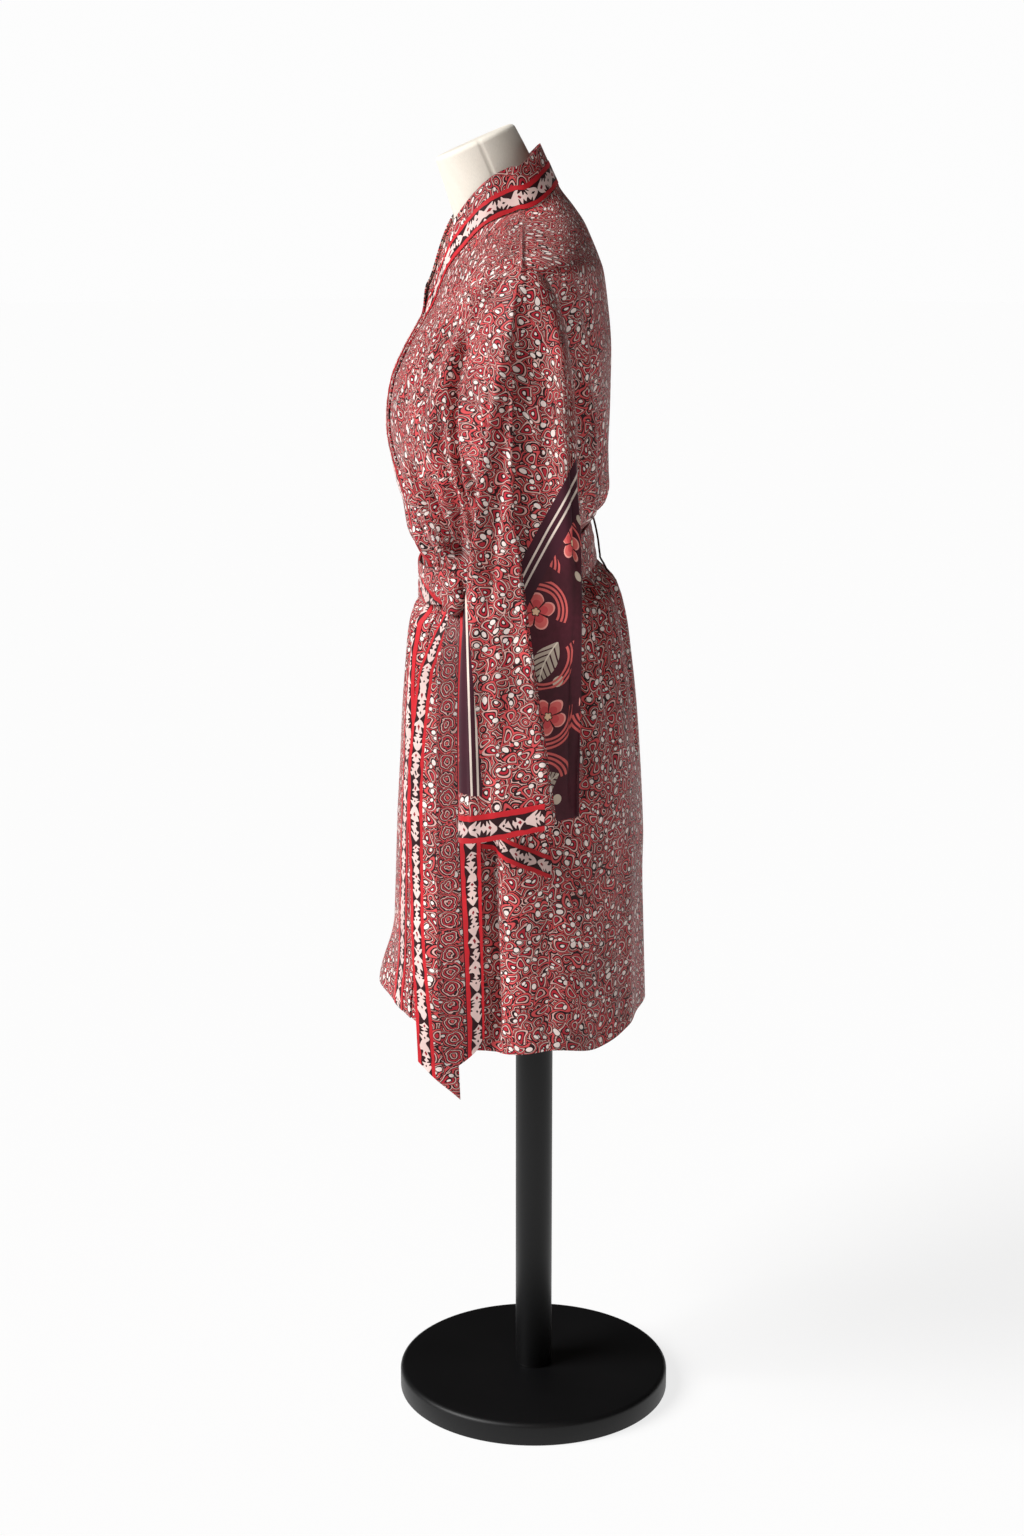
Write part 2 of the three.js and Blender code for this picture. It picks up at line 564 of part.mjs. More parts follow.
function makeLoop() {
  const path = new THREE.CatmullRomCurve3(LOOP_ROWS.map((row) => robePoint(row.h, 180, row.lift).setX(0)));
  const section = new THREE.Shape().absarc(0, 0, LOOP_RADIUS, 0, 2 * Math.PI);
  return new THREE.ExtrudeGeometry(section, { steps: 24, extrudePath: path, curveSegments: 4 });
}

function makePocketBand() {
  const grid = (depth) => range(POCKET.columns).map((share) => range(2).map((across) => {
    const h = POCKET.foreH + (POCKET.aftH - POCKET.foreH) * share + POCKET.width * (across - 0.5);
    const y = POCKET.foreY + (POCKET.aftY - POCKET.foreY) * share;
    return robePoint(h, turnAtY(h, y), TRIM_GAP + TRIM - depth);
  }));
  return wall(grid(0), grid(TRIM));
}

// ================================================================ dress form and stand
function makeForm() {
  const turns = Array.from({ length: FORM_SIDES }, (_, i) => (i * 360) / FORM_SIDES);
  const body = FORM_ROWS.map((h) => turns.map((turn) => {
    const normal = normalAt(plainRobe, Math.min(h, NECK - 1), turn, 1, 0.5);
    const point = plainRobe(h, turn).addScaledVector(normal, -column(FORM_INSET, 'h', h, 'inset'));
    return h === FORM_BOTTOM ? point.setZ(FORM_BOTTOM) : point;
  }));
  return stack([...body, ...NECK_RINGS.map((ring) => neckRing(ring, turns, 0, 0))]);
}

function neckRing(ring, turns, inset, raise) {
  const depth = Math.hypot(ring.aftY - ring.foreY, ring.aftZ - ring.foreZ);
  const up = new THREE.Vector3(0, ring.foreZ - ring.aftZ, ring.aftY - ring.foreY).normalize();
  return turns.map((turn) => {
    const share = (1 - Math.cos(degrees(turn)) * (1 - (2 * inset) / depth)) / 2;
    const point = new THREE.Vector3(
      (ring.half - inset) * Math.sin(degrees(turn)),
      ring.foreY + (ring.aftY - ring.foreY) * share,
      ring.foreZ + (ring.aftZ - ring.foreZ) * share,
    );
    return point.addScaledVector(up, raise);
  });
}

function makeCap() {
  const turns = Array.from({ length: FORM_SIDES }, (_, i) => (i * 360) / FORM_SIDES);
  const top = NECK_RINGS[NECK_RINGS.length - 1];
  return stack([
    neckRing(top, turns, 0, SEAT_GAP),
    neckRing(top, turns, 0, CAP_HEIGHT - 2),
    neckRing(top, turns, 2, CAP_HEIGHT),
  ]);
}

function lathe(profile, sides) {
  const geometry = new THREE.LatheGeometry(profile.map(([r, z]) => new THREE.Vector2(r, z)), sides);
  return geometry.rotateX(Math.PI / 2);
}

function makeBase() {
  const arc = range(4).map((share) => degrees(90 * share)).map((a) => [
    BASE_RADIUS - BASE_ROUND * (1 - Math.cos(a)),
    BASE_HEIGHT - BASE_ROUND * (1 - Math.sin(a)),
  ]);
  return lathe([[0, 0], [BASE_RADIUS - 1, 0], [BASE_RADIUS, 1], ...arc, [0, BASE_HEIGHT]], 64);
}

function makePole() {
  const foot = BASE_HEIGHT + SEAT_GAP;
  const top = FORM_BOTTOM - SEAT_GAP;
  return lathe([[0, foot], [POLE_RADIUS, foot], [POLE_RADIUS, top], [0, top]], 32);
}

// ================================================================ the object
const blackPowderCoat = new THREE.MeshStandardMaterial({ color: 0x151515, roughness: 0.45, metalness: 0.3 });
const creamLinen = new THREE.MeshStandardMaterial({ color: 0xe6dfd0, roughness: 0.9, metalness: 0 });
const printedSilk = new THREE.MeshStandardMaterial({ color: 0xa84c55, roughness: 0.6, metalness: 0 });
const borderSilk = new THREE.MeshStandardMaterial({ color: 0xc42a33, roughness: 0.6, metalness: 0 });

const object = new THREE.Group();
function add(name, geometry, material) {
  const mesh = new THREE.Mesh(geometry, material);
  mesh.name = name;
  object.add(mesh);
}

add('base_disc', makeBase(), blackPowderCoat);
add('pole', makePole(), blackPowderCoat);
add('form_body', makeForm(), creamLinen);
add('neck_cap', makeCap(), creamLinen);
add('back', makeBack(), printedSilk);
add('left_front', makeLeftFront(), printedSilk);
add('right_front', makeRightFront(), printedSilk);
for (const [name, side] of [['left', 1], ['right', -1]]) {
  add(`${name}_sleeve`, makeSleeve(side), printedSilk);
  add(`${name}_cuff`, makeCuff(side), borderSilk);
  add(`neckband_${name}`, makeNeckband(side), printedSilk);
  add(`border_${name}`, makeBorder(side), borderSilk);
}
add('belt', makeBelt(), printedSilk);
add('belt_knot', makeKnot(), printedSilk);
add('belt_tail_a', makeTail('belt_tail_a'), printedSilk);
add('belt_tail_b', makeTail('belt_tail_b'), printedSilk);
add('belt_loop', makeLoop(), printedSilk);
add('pocket_band', makePocketBand(), borderSilk);

export default object;
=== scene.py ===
"""A knee-length wrap kimono robe with its tie belt, on a dress form with a pole and a round base."""
import math

import bmesh
import bpy
import numpy as np
from mathutils import Matrix


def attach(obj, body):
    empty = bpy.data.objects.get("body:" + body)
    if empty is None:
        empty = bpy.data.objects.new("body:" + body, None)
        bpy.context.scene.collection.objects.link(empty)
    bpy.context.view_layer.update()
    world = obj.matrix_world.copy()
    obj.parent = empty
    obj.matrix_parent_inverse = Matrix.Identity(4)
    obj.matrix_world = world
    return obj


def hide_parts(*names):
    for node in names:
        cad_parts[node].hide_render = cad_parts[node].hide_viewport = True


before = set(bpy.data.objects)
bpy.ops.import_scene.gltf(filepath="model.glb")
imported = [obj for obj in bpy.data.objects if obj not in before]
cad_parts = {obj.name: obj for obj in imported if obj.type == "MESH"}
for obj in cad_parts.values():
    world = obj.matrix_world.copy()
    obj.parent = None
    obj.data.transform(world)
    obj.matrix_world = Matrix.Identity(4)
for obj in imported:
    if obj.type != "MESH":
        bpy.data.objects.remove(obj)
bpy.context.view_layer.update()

MM = 0.001
CLOTH = 1.2


# ------------------------------------------------------------------ camera
CAMERA_PLACE = (3.05, 0.0, 1.5788)
CAMERA_TILT = math.radians(14.914)
CAMERA_TURN = math.radians(0.487)
CAMERA_LENS = 65.02

ahead = np.array([
    -math.cos(CAMERA_TILT) * math.cos(CAMERA_TURN),
    -math.cos(CAMERA_TILT) * math.sin(CAMERA_TURN),
    -math.sin(CAMERA_TILT),
])
right = np.array([-math.sin(CAMERA_TURN), math.cos(CAMERA_TURN), 0.0])
above = np.cross(right, ahead)
camera_data = bpy.data.cameras.new("camera")
camera_data.lens = CAMERA_LENS
camera_data.sensor_width = 36.0
camera_data.sensor_fit = "AUTO"
camera_data.clip_end = 60.0
camera = bpy.data.objects.new("camera", camera_data)
camera.matrix_world = Matrix.Translation(CAMERA_PLACE) @ Matrix(
    np.array([right, above, -ahead]).T.tolist()).to_4x4()
bpy.context.scene.collection.objects.link(camera)
bpy.context.scene.camera = camera


# ------------------------------------------------------------------ sizes, in millimetres
def table(names, *rows):
    return dict(zip(names.split(), np.array(rows, float).T))


RINGS = table(
    "h half front back side drop rise edge wrap",
    (490, 196, -164, 129, -16, -28, 12, -58, 82),
    (560, 196, -158, 128, -16, -14, 5, -58, 80),
    (640, 195, -155, 126, -16, 0, 0, -58, 77),
    (720, 192, -152, 123, -16, 0, 0, -58, 73),
    (790, 188, -148, 119, -16, 0, 0, -57, 68),
    (850, 182, -145, 114, -17, 2, 2, -56, 62),
    (900, 174, -141, 107, -18, 6, 6, -55, 57),
    (945, 163, -136, 98, -19, 12, 12, -54, 54),
    (968, 152, -128, 85, -20, 18, 18, -53, 51),
    (980, 144, -123, 73, -20, 20, 20, -52, 50),
    (988, 140, -121, 65.5, -20, 21, 21, -52, 50),
    (1010, 137, -120, 61, -20, 22, 22, -50, 48),
    (1032, 139, -121, 57, -20, 22, 22, -47, 42.5),
    (1040, 143, -122, 57, -20, 21, 21, -45, 40),
    (1047, 150, -126, 59, -20, 19, 18, -43, 38),
    (1062, 164, -134, 70, -19, 14, 13, -38, 33),
    (1085, 177, -143, 79, -18, 6, 5, -30, 25),
    (1115, 184, -152, 80, -18, 0, 0, -18, 14),
    (1160, 188, -160, 82, -18, 0, 0, -2, 2),
    (1207, 190, -155, 83, -18, 0, 0, 13, -13),
    (1250, 192, -141, 83, -17, 10, 0, 24, -24),
    (1290, 196, -127, 79, -16, 25, 2, 33, -33),
    (1322, 201, -116, 74, -15, 38, 2, 39, -39),
    (1345, 205, -110, 68, -14, 51, -3, 43, -43),
    (1357, 172, -97, 60, -14, 27, 4, 57, -57),
    (1368, 138, -82, 52, -14, 15, 10, 66, -66),
    (1380, 102, -67, 41, -14, 4, 14, 71, -71),
    (1394, 70, -46, 24, -14, 0, 24, 69.7, -69.7),
)
FOLDS = table(
    "angle width depth low high lean",
    (77, 9, 15, 480, 800, -4),
    (3, 11, -12, 470, 590, 0),
    (128, 10, 7, 480, 900, 6),
    (160, 9, 5, 480, 820, -4),
    (196, 10, 6, 480, 880, 5),
    (232, 10, 7, 480, 900, -6),
    (283, 10, 11, 480, 840, 4),
    (320, 11, 6, 480, 860, 5),
)
HEM_WAVES = table(
    "angle width drop",
    (70, 10, 3),
    (101, 13, -6),
    (128, 13, 9),
    (205, 16, 5),
    (250, 14, -5),
    (300, 15, 6),
)
SLEEVE = table(
    "t outX outZ inX inZ foreY aftY",
    (0.0, 212, 1341, 196, 1082, -70, 40),
    (0.1, 234, 1312, 205, 1070, -58, 40),
    (0.2, 246, 1262, 209, 1056, -57, 42),
    (0.3, 253, 1195, 211, 1040, -61, 43),
    (0.4, 257, 1125, 211, 1016, -66, 45),
    (0.5, 259, 1055, 211, 984, -71, 46),
    (0.6, 260, 990, 210, 945, -76, 47),
    (0.7, 260, 925, 209, 900, -79, 47),
    (0.8, 260, 865, 208, 853, -80, 47),
    (0.9, 260, 811, 207, 807, -80, 46),
    (1.0, 260, 762, 207, 762, -80, 46),
)
NECK_STATIONS = table(
    "turn x y z",
    (86, -0.17, -0.2, 0.96),
    (112, -0.18, -0.34, 0.92),
    (135, -0.12, -0.4, 0.91),
    (158, -0.05, -0.42, 0.91),
    (180, 0, -0.42, 0.91),
)
FRONT_STATIONS = table(
    "h x y z",
    (1270, -0.91, -0.03, 0.41),
    (1298, -0.89, -0.03, 0.45),
    (1322, -0.85, -0.02, 0.52),
    (1345, -0.77, 0, 0.64),
    (1357, -0.62, -0.02, 0.78),
    (1368, -0.42, -0.03, 0.91),
    (1380, -0.24, 0, 0.97),
    (1394, -0.17, -0.2, 0.96),
)
FORM_INSET = table(
    "h inset",
    (700, 24),
    (850, 23),
    (945, 16),
    (1010, 8),
    (1062, 16),
    (1160, 20),
    (1250, 18),
    (1298, 16),
    (1322, 11),
    (1345, 5),
    (1357, 2.5),
)
NECK_RINGS = table(
    "s foreY foreZ aftY aftZ half",
    (0, -86, 1346, 14, 1406, 60),
    (1, -87, 1376, 2, 1430, 51),
    (2, -97, 1410, -9, 1453, 48),
    (3, -107, 1440, -22, 1477, 48),
)
TAIL_A = table(
    "h y lift flare width",
    (409, -98, 12, 17, 39.5),
    (520, -102, 12, 17, 39.5),
    (650, -110, 12, 14, 39.5),
    (790, -111, 11.5, 12, 39.5),
    (905, -102, 10, 9, 38),
    (945, -92, 9, 4, 34),
    (975, -82, 9, 0, 28),
    (1003, -74, 10.3, 0, 20),
)
TAIL_B = table(
    "h y lift flare width",
    (409, -76.5, 12.5, 9, 44),
    (800, -76.5, 12.5, 9, 44),
    (905, -76, 14, 5, 43),
    (945, -75, 13.5, 2, 36),
    (975, -74, 12.5, 0, 28),
    (1003, -73, 13.6, 0, 20),
)
LOOP_ROWS = table(
    "h lift",
    (972, 1.7),
    (980, 4.5),
    (990, 7.6),
    (1010, 8.4),
    (1030, 7.6),
    (1044, 4),
    (1052, 1.6),
)
HEM, UNDERARM, SHOULDER, NECK = 490, 1085, 1345, 1394
LEAN_START = 1322
RING_POWER = 2 / 2.2
RISE_POWER = 1.6
ARMHOLE_FRONT, ARMHOLE_REAR = 24, 33
SEAM_GAP = 0.3
WRAP_LIFT = 4.2
BORDER_WIDTH, NECKBAND_WIDTH = 26, 46
BELT_HEIGHT, BELT_WIDTH, BELT_CLOTH = 1010, 44, 2.0
BAND_CLOTH, BORDER_CLOTH, BORDER_LIFT = 1.4, 0.5, 0.75
KNOT_HEIGHT, KNOT_Y, KNOT_OUT = 1001.0, -73.0, 23.7
TAIL_TOP = 1003
POLE_RADIUS, POLE_LENGTH, POLE_MIDDLE = 0.0215, 0.669, 0.3645
BASE_RADIUS, BASE_HEIGHT = 0.16, 0.027
CUFF_BORDER = 30
CUFF_SLANT = 0.21
KNOT_SIZE = (15.2, 9.2, 21.0)
# The pocket's opening: y and height of its two ends, and how far the band is turned down from its seam.
POCKET_FORE, POCKET_AFT, POCKET_BAND = (-66, 742), (18, 706), 25
FORM_FOOT, FORM_TOP = 700.2, 1357
FORM_SEAM, FORM_TACKS = 97.5, (20, 48, 74, 101, 133, 165, 200, 236, 280, 320)
# The dark panels of a sleeve: the wedge in front stands on a level foot, and the rear one lies below a slanted line
# through two places, as y and height.
WEDGE_FRONT, WEDGE_FOOT, WEDGE_HEIGHT = -54, 804, 210
REAR_LOW, REAR_HIGH = (-11.6, 1057), (37.6, 1149)

# The print, in metres on the flat cloth.
DROP_PITCH, DOT_PITCH = 0.0195, 0.0115
FLOWER_PITCH, FLOWER_DOT_PITCH = 0.062, 0.046
SCALLOP, SCALLOP_LEAF = 0.0165, 0.0071
ROSETTE_PITCH, ROSETTE_REACH, ROSETTE_ROW = 0.0195, 0.0104, 0.0225
BORDER_PRINT, BELT_BORDER, TAIL_A_BORDER, TAIL_B_BORDER = 0.025, 0.0205, 0.0175, 0.0208
THREAD_PITCH, STITCH_PITCH, STITCH_HEIGHT = 0.0011, 0.004, 14.0

# Creases of the robe, each along a line from one place to another: turn in degrees from centre front towards the left,
# h the height. depth is inwards, and a ridge has a depth below zero. bow: how far the line bends aside at its middle.
CREASES = table(
    "turn0 h0 turn1 h1 width depth bow",
    # left front, gathered towards the belt's knot
    (24, 1120, 47, 1036, 6, 4.5, 5),
    (34, 1140, 52, 1036, 5, 7.5, 4),
    (43, 1118, 57, 1036, 6, 8.5, 0),
    (29, 1150, 50, 1040, 5, -3.5, 5),
    (39, 1130, 55, 1040, 5, -3.5, 3),
    (52, 1210, 63, 1040, 9, 5, -4),
    (60, 1170, 70, 1040, 7, -3, -4),
    (66, 1120, 72, 1034, 5, 6.0, 2),
    (12, 1130, 33, 1036, 6, 3.5, 4),
    (3, 1100, 20, 1036, 5, 3, 3),
    (74, 1085, 80, 1038, 5, 4, 0),
    # left front, from the shoulder over the chest
    (55, 1322, 44, 1180, 13, 3.2, 8),
    (66, 1326, 60, 1210, 8, 3.0, -5),
    (47, 1318, 38, 1230, 10, -2.2, 4),
    (36, 1290, 26, 1160, 14, 2.2, -6),
    (61, 1300, 52, 1130, 9, -2.4, 6),
    # beside the front of the armholes
    (59, 1316, 66, 1080, 6, 8.0, 0),
    (65, 1300, 70, 1090, 5, -3.0, 0),
    (301, 1316, 294, 1080, 6, 7.5, 0),
    (295, 1300, 290, 1090, 5, -3.0, 0),
    # shoulder seams
    (90, 1396, 90, 1306, 2.5, -1.7, 0),
    (270, 1396, 270, 1306, 2.5, -1.7, 0),
    # left of the back, from the shoulder seam down
    (112, 1346, 128, 1180, 12, 3.6, -7),
    (119, 1340, 139, 1215, 9, -3.2, -6),
    (128, 1336, 150, 1160, 14, 3.4, 8),
    (131, 1290, 134, 1060, 10, 3.6, 5),
    (140, 1250, 143, 1052, 8, -2.6, 3),
    (150, 1215, 152, 1046, 9, 3.2, -4),
    (119, 1150, 112, 1040, 6, 3.5, 3),
    (163, 1190, 166, 1046, 10, 3.2, 3),
    (173, 1330, 176, 1120, 16, 2.6, 6),
    (180, 1110, 178, 1044, 7, 3.0, -2),
    # right of the back
    (192, 1180, 190, 1044, 9, 3.2, -3),
    (205, 1240, 201, 1046, 12, 3.2, 6),
    (215, 1330, 236, 1190, 11, 3.0, 7),
    (214, 1130, 214, 1044, 7, -2.6, 0),
    (224, 1200, 222, 1044, 9, 3.4, -5),
    (237, 1290, 230, 1130, 12, 2.6, -6),
    (238, 1110, 240, 1040, 7, 3.6, 3),
    (251, 1120, 249, 1040, 6, 3.2, 2),
    # right front
    (288, 1090, 283, 1038, 6, 3.6, 0),
    (303, 1150, 297, 1038, 8, 3.8, 5),
    (299, 1326, 312, 1200, 12, 3.0, -6),
    (313, 1320, 326, 1150, 13, 2.6, 7),
    (316, 1130, 309, 1036, 7, 3.8, 4),
    (329, 1160, 322, 1036, 9, 3.4, -5),
    (340, 1110, 334, 1036, 6, 3.6, 3),
    (352, 1090, 347, 1036, 6, 2.6, 2),
    # skirt, from the belt down
    (14, 978, 10, 860, 6, 2.2, 2),
    (30, 980, 24, 800, 7, 4.2, -4),
    (42, 980, 40, 870, 5, 2.4, 3),
    (60, 980, 63, 850, 6, 4.6, 2),
    (74, 980, 78, 800, 7, 3.2, 3),
    (79, 800, 81, 478, 7, 6.5, 3),
    (88, 790, 90, 520, 12, -2.2, 0),
    (92, 980, 94, 700, 9, 2.6, -4),
    (104, 700, 101, 478, 12, 2.4, 5),
    (107, 980, 112, 820, 7, 3.0, 4),
    (120, 980, 119, 760, 9, 2.4, -5),
    (136, 984, 140, 800, 8, 2.8, 4),
    (146, 760, 143, 478, 14, 2.4, 4),
    (151, 984, 153, 850, 7, 2.4, 2),
    (166, 984, 164, 780, 8, 3.0, -4),
    (177, 700, 181, 478, 14, 2.6, 4),
    (181, 984, 183, 840, 7, 2.6, 3),
    (199, 984, 195, 760, 8, 2.8, 5),
    (214, 984, 217, 830, 7, 3.0, -3),
    (229, 984, 226, 720, 10, 2.6, 5),
    (245, 980, 249, 830, 7, 3.0, 3),
    (262, 980, 259, 760, 9, 3.0, 4),
    (281, 980, 284, 800, 8, 3.0, -3),
    (299, 980, 296, 850, 6, 2.6, 2),
    (314, 980, 320, 770, 8, 2.8, 4),
    (333, 978, 337, 840, 7, 2.4, -3),
    (344, 720, 348, 478, 12, 2.6, 5),
    (350, 975, 352, 870, 6, 2.0, 2),
)
# Gathers either side of the belt: waves round the waist, as count and share.
GATHERS = ((17, 0.3, 0.9), (29, 1.7, 0.7), (43, 4.1, 0.5), (8, 2.2, 0.5))

# Creases of a sleeve, from share to share of its length; angle is 0 outside, 90 in front, -90 behind.
SLEEVE_CREASES = table(
    "a0 t0 a1 t1 width depth bow",
    (92, 0.02, 84, 0.44, 9, 5.5, 3),
    (56, 0.06, 66, 0.55, 9, 5.0, 6),
    (8, 0.16, 30, 0.6, 10, 4.0, 8),
    (10, 0.1, 50, 0.56, 9, -4.2, 13),
    (2, 0.3, 12, 0.86, 14, 2.2, -6),
    (-12, 0.2, -6, 0.62, 9, -1.8, 4),
    (30, 0.5, 24, 0.97, 12, 2.2, 5),
    (52, 0.55, 46, 0.99, 9, -1.8, -4),
    (-62, 0.12, -70, 0.5, 9, 3.4, 4),
    (-78, 0.3, -74, 0.8, 8, -2.2, 3),
    (-66, 0.55, -62, 0.98, 9, 2.6, 4),
    (112, 0.2, 120, 0.7, 11, 3.0, 5),
    (146, 0.3, 140, 0.9, 12, 2.6, 5),
    (-130, 0.25, -140, 0.8, 12, 3.0, -5),
    (-108, 0.5, -112, 0.99, 9, 2.4, 3),
    (170, 0.1, 160, 0.5, 9, 3.2, 4),
)
# The fold down the outside of a sleeve: y of its edge by height.
SLEEVE_FOLD = table(
    "z y",
    (745, 27),
    (824, 18),
    (872, 11.6),
    (910, 6),
    (969, -2),
    (1027, -9.4),
    (1106, -17.6),
    (1168, -19.6),
    (1219, -20.7),
    (1286, -20),
    (1344, -16),
)


# ------------------------------------------------------------------ surfaces
def column(tab, key, at, name):
    """A smooth value from one column of a table, held level past its ends."""
    keys, values = tab[key], tab[name]
    at = np.clip(at, keys[0], keys[-1])
    i = np.clip(np.searchsorted(keys, at, side="right") - 1, 0, len(keys) - 2)
    slopes = np.zeros(len(keys))
    slopes[1:-1] = (values[2:] - values[:-2]) / (keys[2:] - keys[:-2])
    span = keys[i + 1] - keys[i]
    s = (at - keys[i]) / span
    flat = values[i] * (1 + 2 * s) * (1 - s) ** 2 + values[i + 1] * s**2 * (3 - 2 * s)
    return flat + span * (slopes[i] * s * (1 - s) ** 2 - slopes[i + 1] * s**2 * (1 - s))


def smooth(x):
    x = np.clip(x, 0.0, 1.0)
    return x * x * (3 - 2 * x)


def signed_power(x, power):
    return np.sign(x) * np.abs(x) ** power


def wrapped(angle):
    return (angle + 540) % 360 - 180


def unit(v):
    return v / np.maximum(np.linalg.norm(v, axis=-1, keepdims=True), 1e-9)


def ring_point(h, turn):
    """The robe without its folds."""
    h, turn = np.broadcast_arrays(np.asarray(h, float), np.asarray(turn, float))
    c, s = np.cos(np.radians(turn)), np.sin(np.radians(turn))
    value = {name: column(RINGS, "h", h, name) for name in ("half", "front", "back", "side", "drop", "rise")}
    reach = np.where(c > 0, value["side"] - value["front"], value["back"] - value["side"])
    climb = np.where(c > 0, -value["drop"], value["rise"])
    wave = sum(
        drop * np.exp(-((wrapped(turn - angle) / width) ** 2))
        for angle, width, drop in zip(*(HEM_WAVES[k] for k in ("angle", "width", "drop"))))
    return np.stack([
        value["half"] * signed_power(s, RING_POWER),
        value["side"] - reach * signed_power(c, RING_POWER),
        h + climb * np.abs(c) ** RISE_POWER - wave * smooth((640 - h) / 150),
    ], axis=-1)


def fold_depth(h, turn):
    depth = 0
    for angle, width, deep, low, high, lean in zip(*(FOLDS[k] for k in "angle width depth low high lean".split())):
        climb = np.clip((h - low) / (high - low), 0, 1)
        depth = depth + deep * (1 - smooth(climb)) * np.exp(-((wrapped(turn - lean * climb - angle) / width) ** 2))
    return depth


def robe(h, turn):
    h, turn = np.broadcast_arrays(np.asarray(h, float), np.asarray(turn, float))
    point = ring_point(h, turn)
    outward = np.zeros_like(point)
    outward[..., 0] = point[..., 0]
    outward[..., 1] = 1.4 * (point[..., 1] - column(RINGS, "h", h, "side"))
    return point - unit(outward) * fold_depth(h, turn)[..., None]


def normal_of(surface, u, v, step_u, step_v):
    along_u = surface(u + step_u, v) - surface(u - step_u, v)
    along_v = surface(u, v + step_v) - surface(u, v - step_v)
    return unit(np.cross(along_v, along_u))


def robe_normal(h, turn):
    return normal_of(robe, np.minimum(h, NECK - 1), turn, 1.0, 0.5)


def turn_at_x(h, x):
    share = x / column(RINGS, "h", h, "half")
    return np.degrees(np.arcsin(signed_power(share, 1 / RING_POWER)))


def turn_at_y(h, y):
    side = column(RINGS, "h", h, "side")
    reach = np.where(y < side, side - column(RINGS, "h", h, "front"), column(RINGS, "h", h, "back") - side)
    return np.degrees(np.arccos(signed_power((side - y) / reach, 1 / RING_POWER)))


def crease_depth(creases, names, a, b, scale_a, scale_b):
    """The depth of a table of creases at places (a, b), with both scales in millimetres."""
    total = np.zeros(np.broadcast(a, b).shape)
    for a0, b0, a1, b1, width, depth, bow in zip(*(creases[k] for k in names)):
        middle = (a0 + a1) / 2
        x = (wrapped(a - middle) + middle) * scale_a
        y = b * scale_b
        x0, y0 = a0 * scale_a, b0 * scale_b
        dx, dy = a1 * scale_a - x0, b1 * scale_b - y0
        length = math.hypot(dx, dy)
        s = ((x - x0) * dx + (y - y0) * dy) / length**2
        off = ((x - x0) * dy - (y - y0) * dx) / length - bow * 4 * s * (1 - s)
        taper = smooth(s / 0.28) * smooth((1 - s) / 0.16)
        total += depth * taper * np.exp(-((off / (width * (0.75 + 0.5 * (1 - s)))) ** 2))
    return total


def relief(h, turn):
    """How far the creases and gathers stand off the robe's form."""
    h, turn = np.broadcast_arrays(np.asarray(h, float), np.asarray(turn, float))
    deep = 1.75 * crease_depth(
        CREASES, ("turn0", "h0", "turn1", "h1", "width", "depth", "bow"), turn, h, 2.8, 1.0)
    waves = sum(share * np.sin(np.radians(count * turn) + start + 1.3 * np.sin(np.radians(3 * turn + 50 * start)))
                for count, start, share in GATHERS)
    over = 2.4 * smooth((1150 - h) / 105) * smooth((h - 1030) / 14)
    under = 1.7 * smooth((h - 830) / 140) * smooth((990 - h) / 12)
    out = -deep + waves * (over + under)
    out = out + 3.2 * np.exp(-(((h - 1061) / 13) ** 2)) + 2.4 * np.exp(-(((h - 962) / 10) ** 2))
    at_belt = smooth((h - 976) / 12) * smooth((1044 - h) / 12)
    out = out * (1 - at_belt) + np.minimum(0.35 * waves, 0.5) * at_belt
    room = np.interp(h, (1250, 1298, 1322, 1338, 1346, 1358), (-11.0, -10.0, -7.0, -4.0, -2.6, -0.6))
    return np.clip(out, room, 5.0) * smooth((NECK - h) / 42)


def cloth_point(h, turn, lift=0.0, share=1.0):
    return robe(h, turn) + robe_normal(h, turn) * (np.asarray(lift) + share * relief(h, turn))[..., None]


# ------------------------------------------------------------------ meshes
def grid_normals(grid, ring):
    if ring:
        across = np.roll(grid, -1, axis=1) - np.roll(grid, 1, axis=1)
    else:
        across = np.gradient(grid, axis=1)
    return unit(np.cross(across, np.gradient(grid, axis=0)))


def lengths(grid, axis, start):
    """Length along an axis of a grid, in metres, counted from the line start."""
    steps = np.linalg.norm(np.diff(grid, axis=axis), axis=-1)
    shape = list(steps.shape)
    shape[axis] = 1
    run = np.concatenate([np.zeros(shape), np.cumsum(steps, axis=axis)], axis=axis) * MM
    return run - np.take(run, [start], axis=axis)


def cloth_uv(grid, ring=False, across_start=0, along_start=0, even=False):
    """Flat places of a grid's points in metres: across the piece, and along it."""
    if ring:
        grid = np.concatenate([grid, grid[:, :1]], axis=1)
    across = lengths(grid, 1, across_start)
    along = lengths(grid, 0, along_start)
    if even:
        along = np.broadcast_to(along.mean(axis=1, keepdims=True), across.shape)
    return np.stack([across, along], axis=-1)


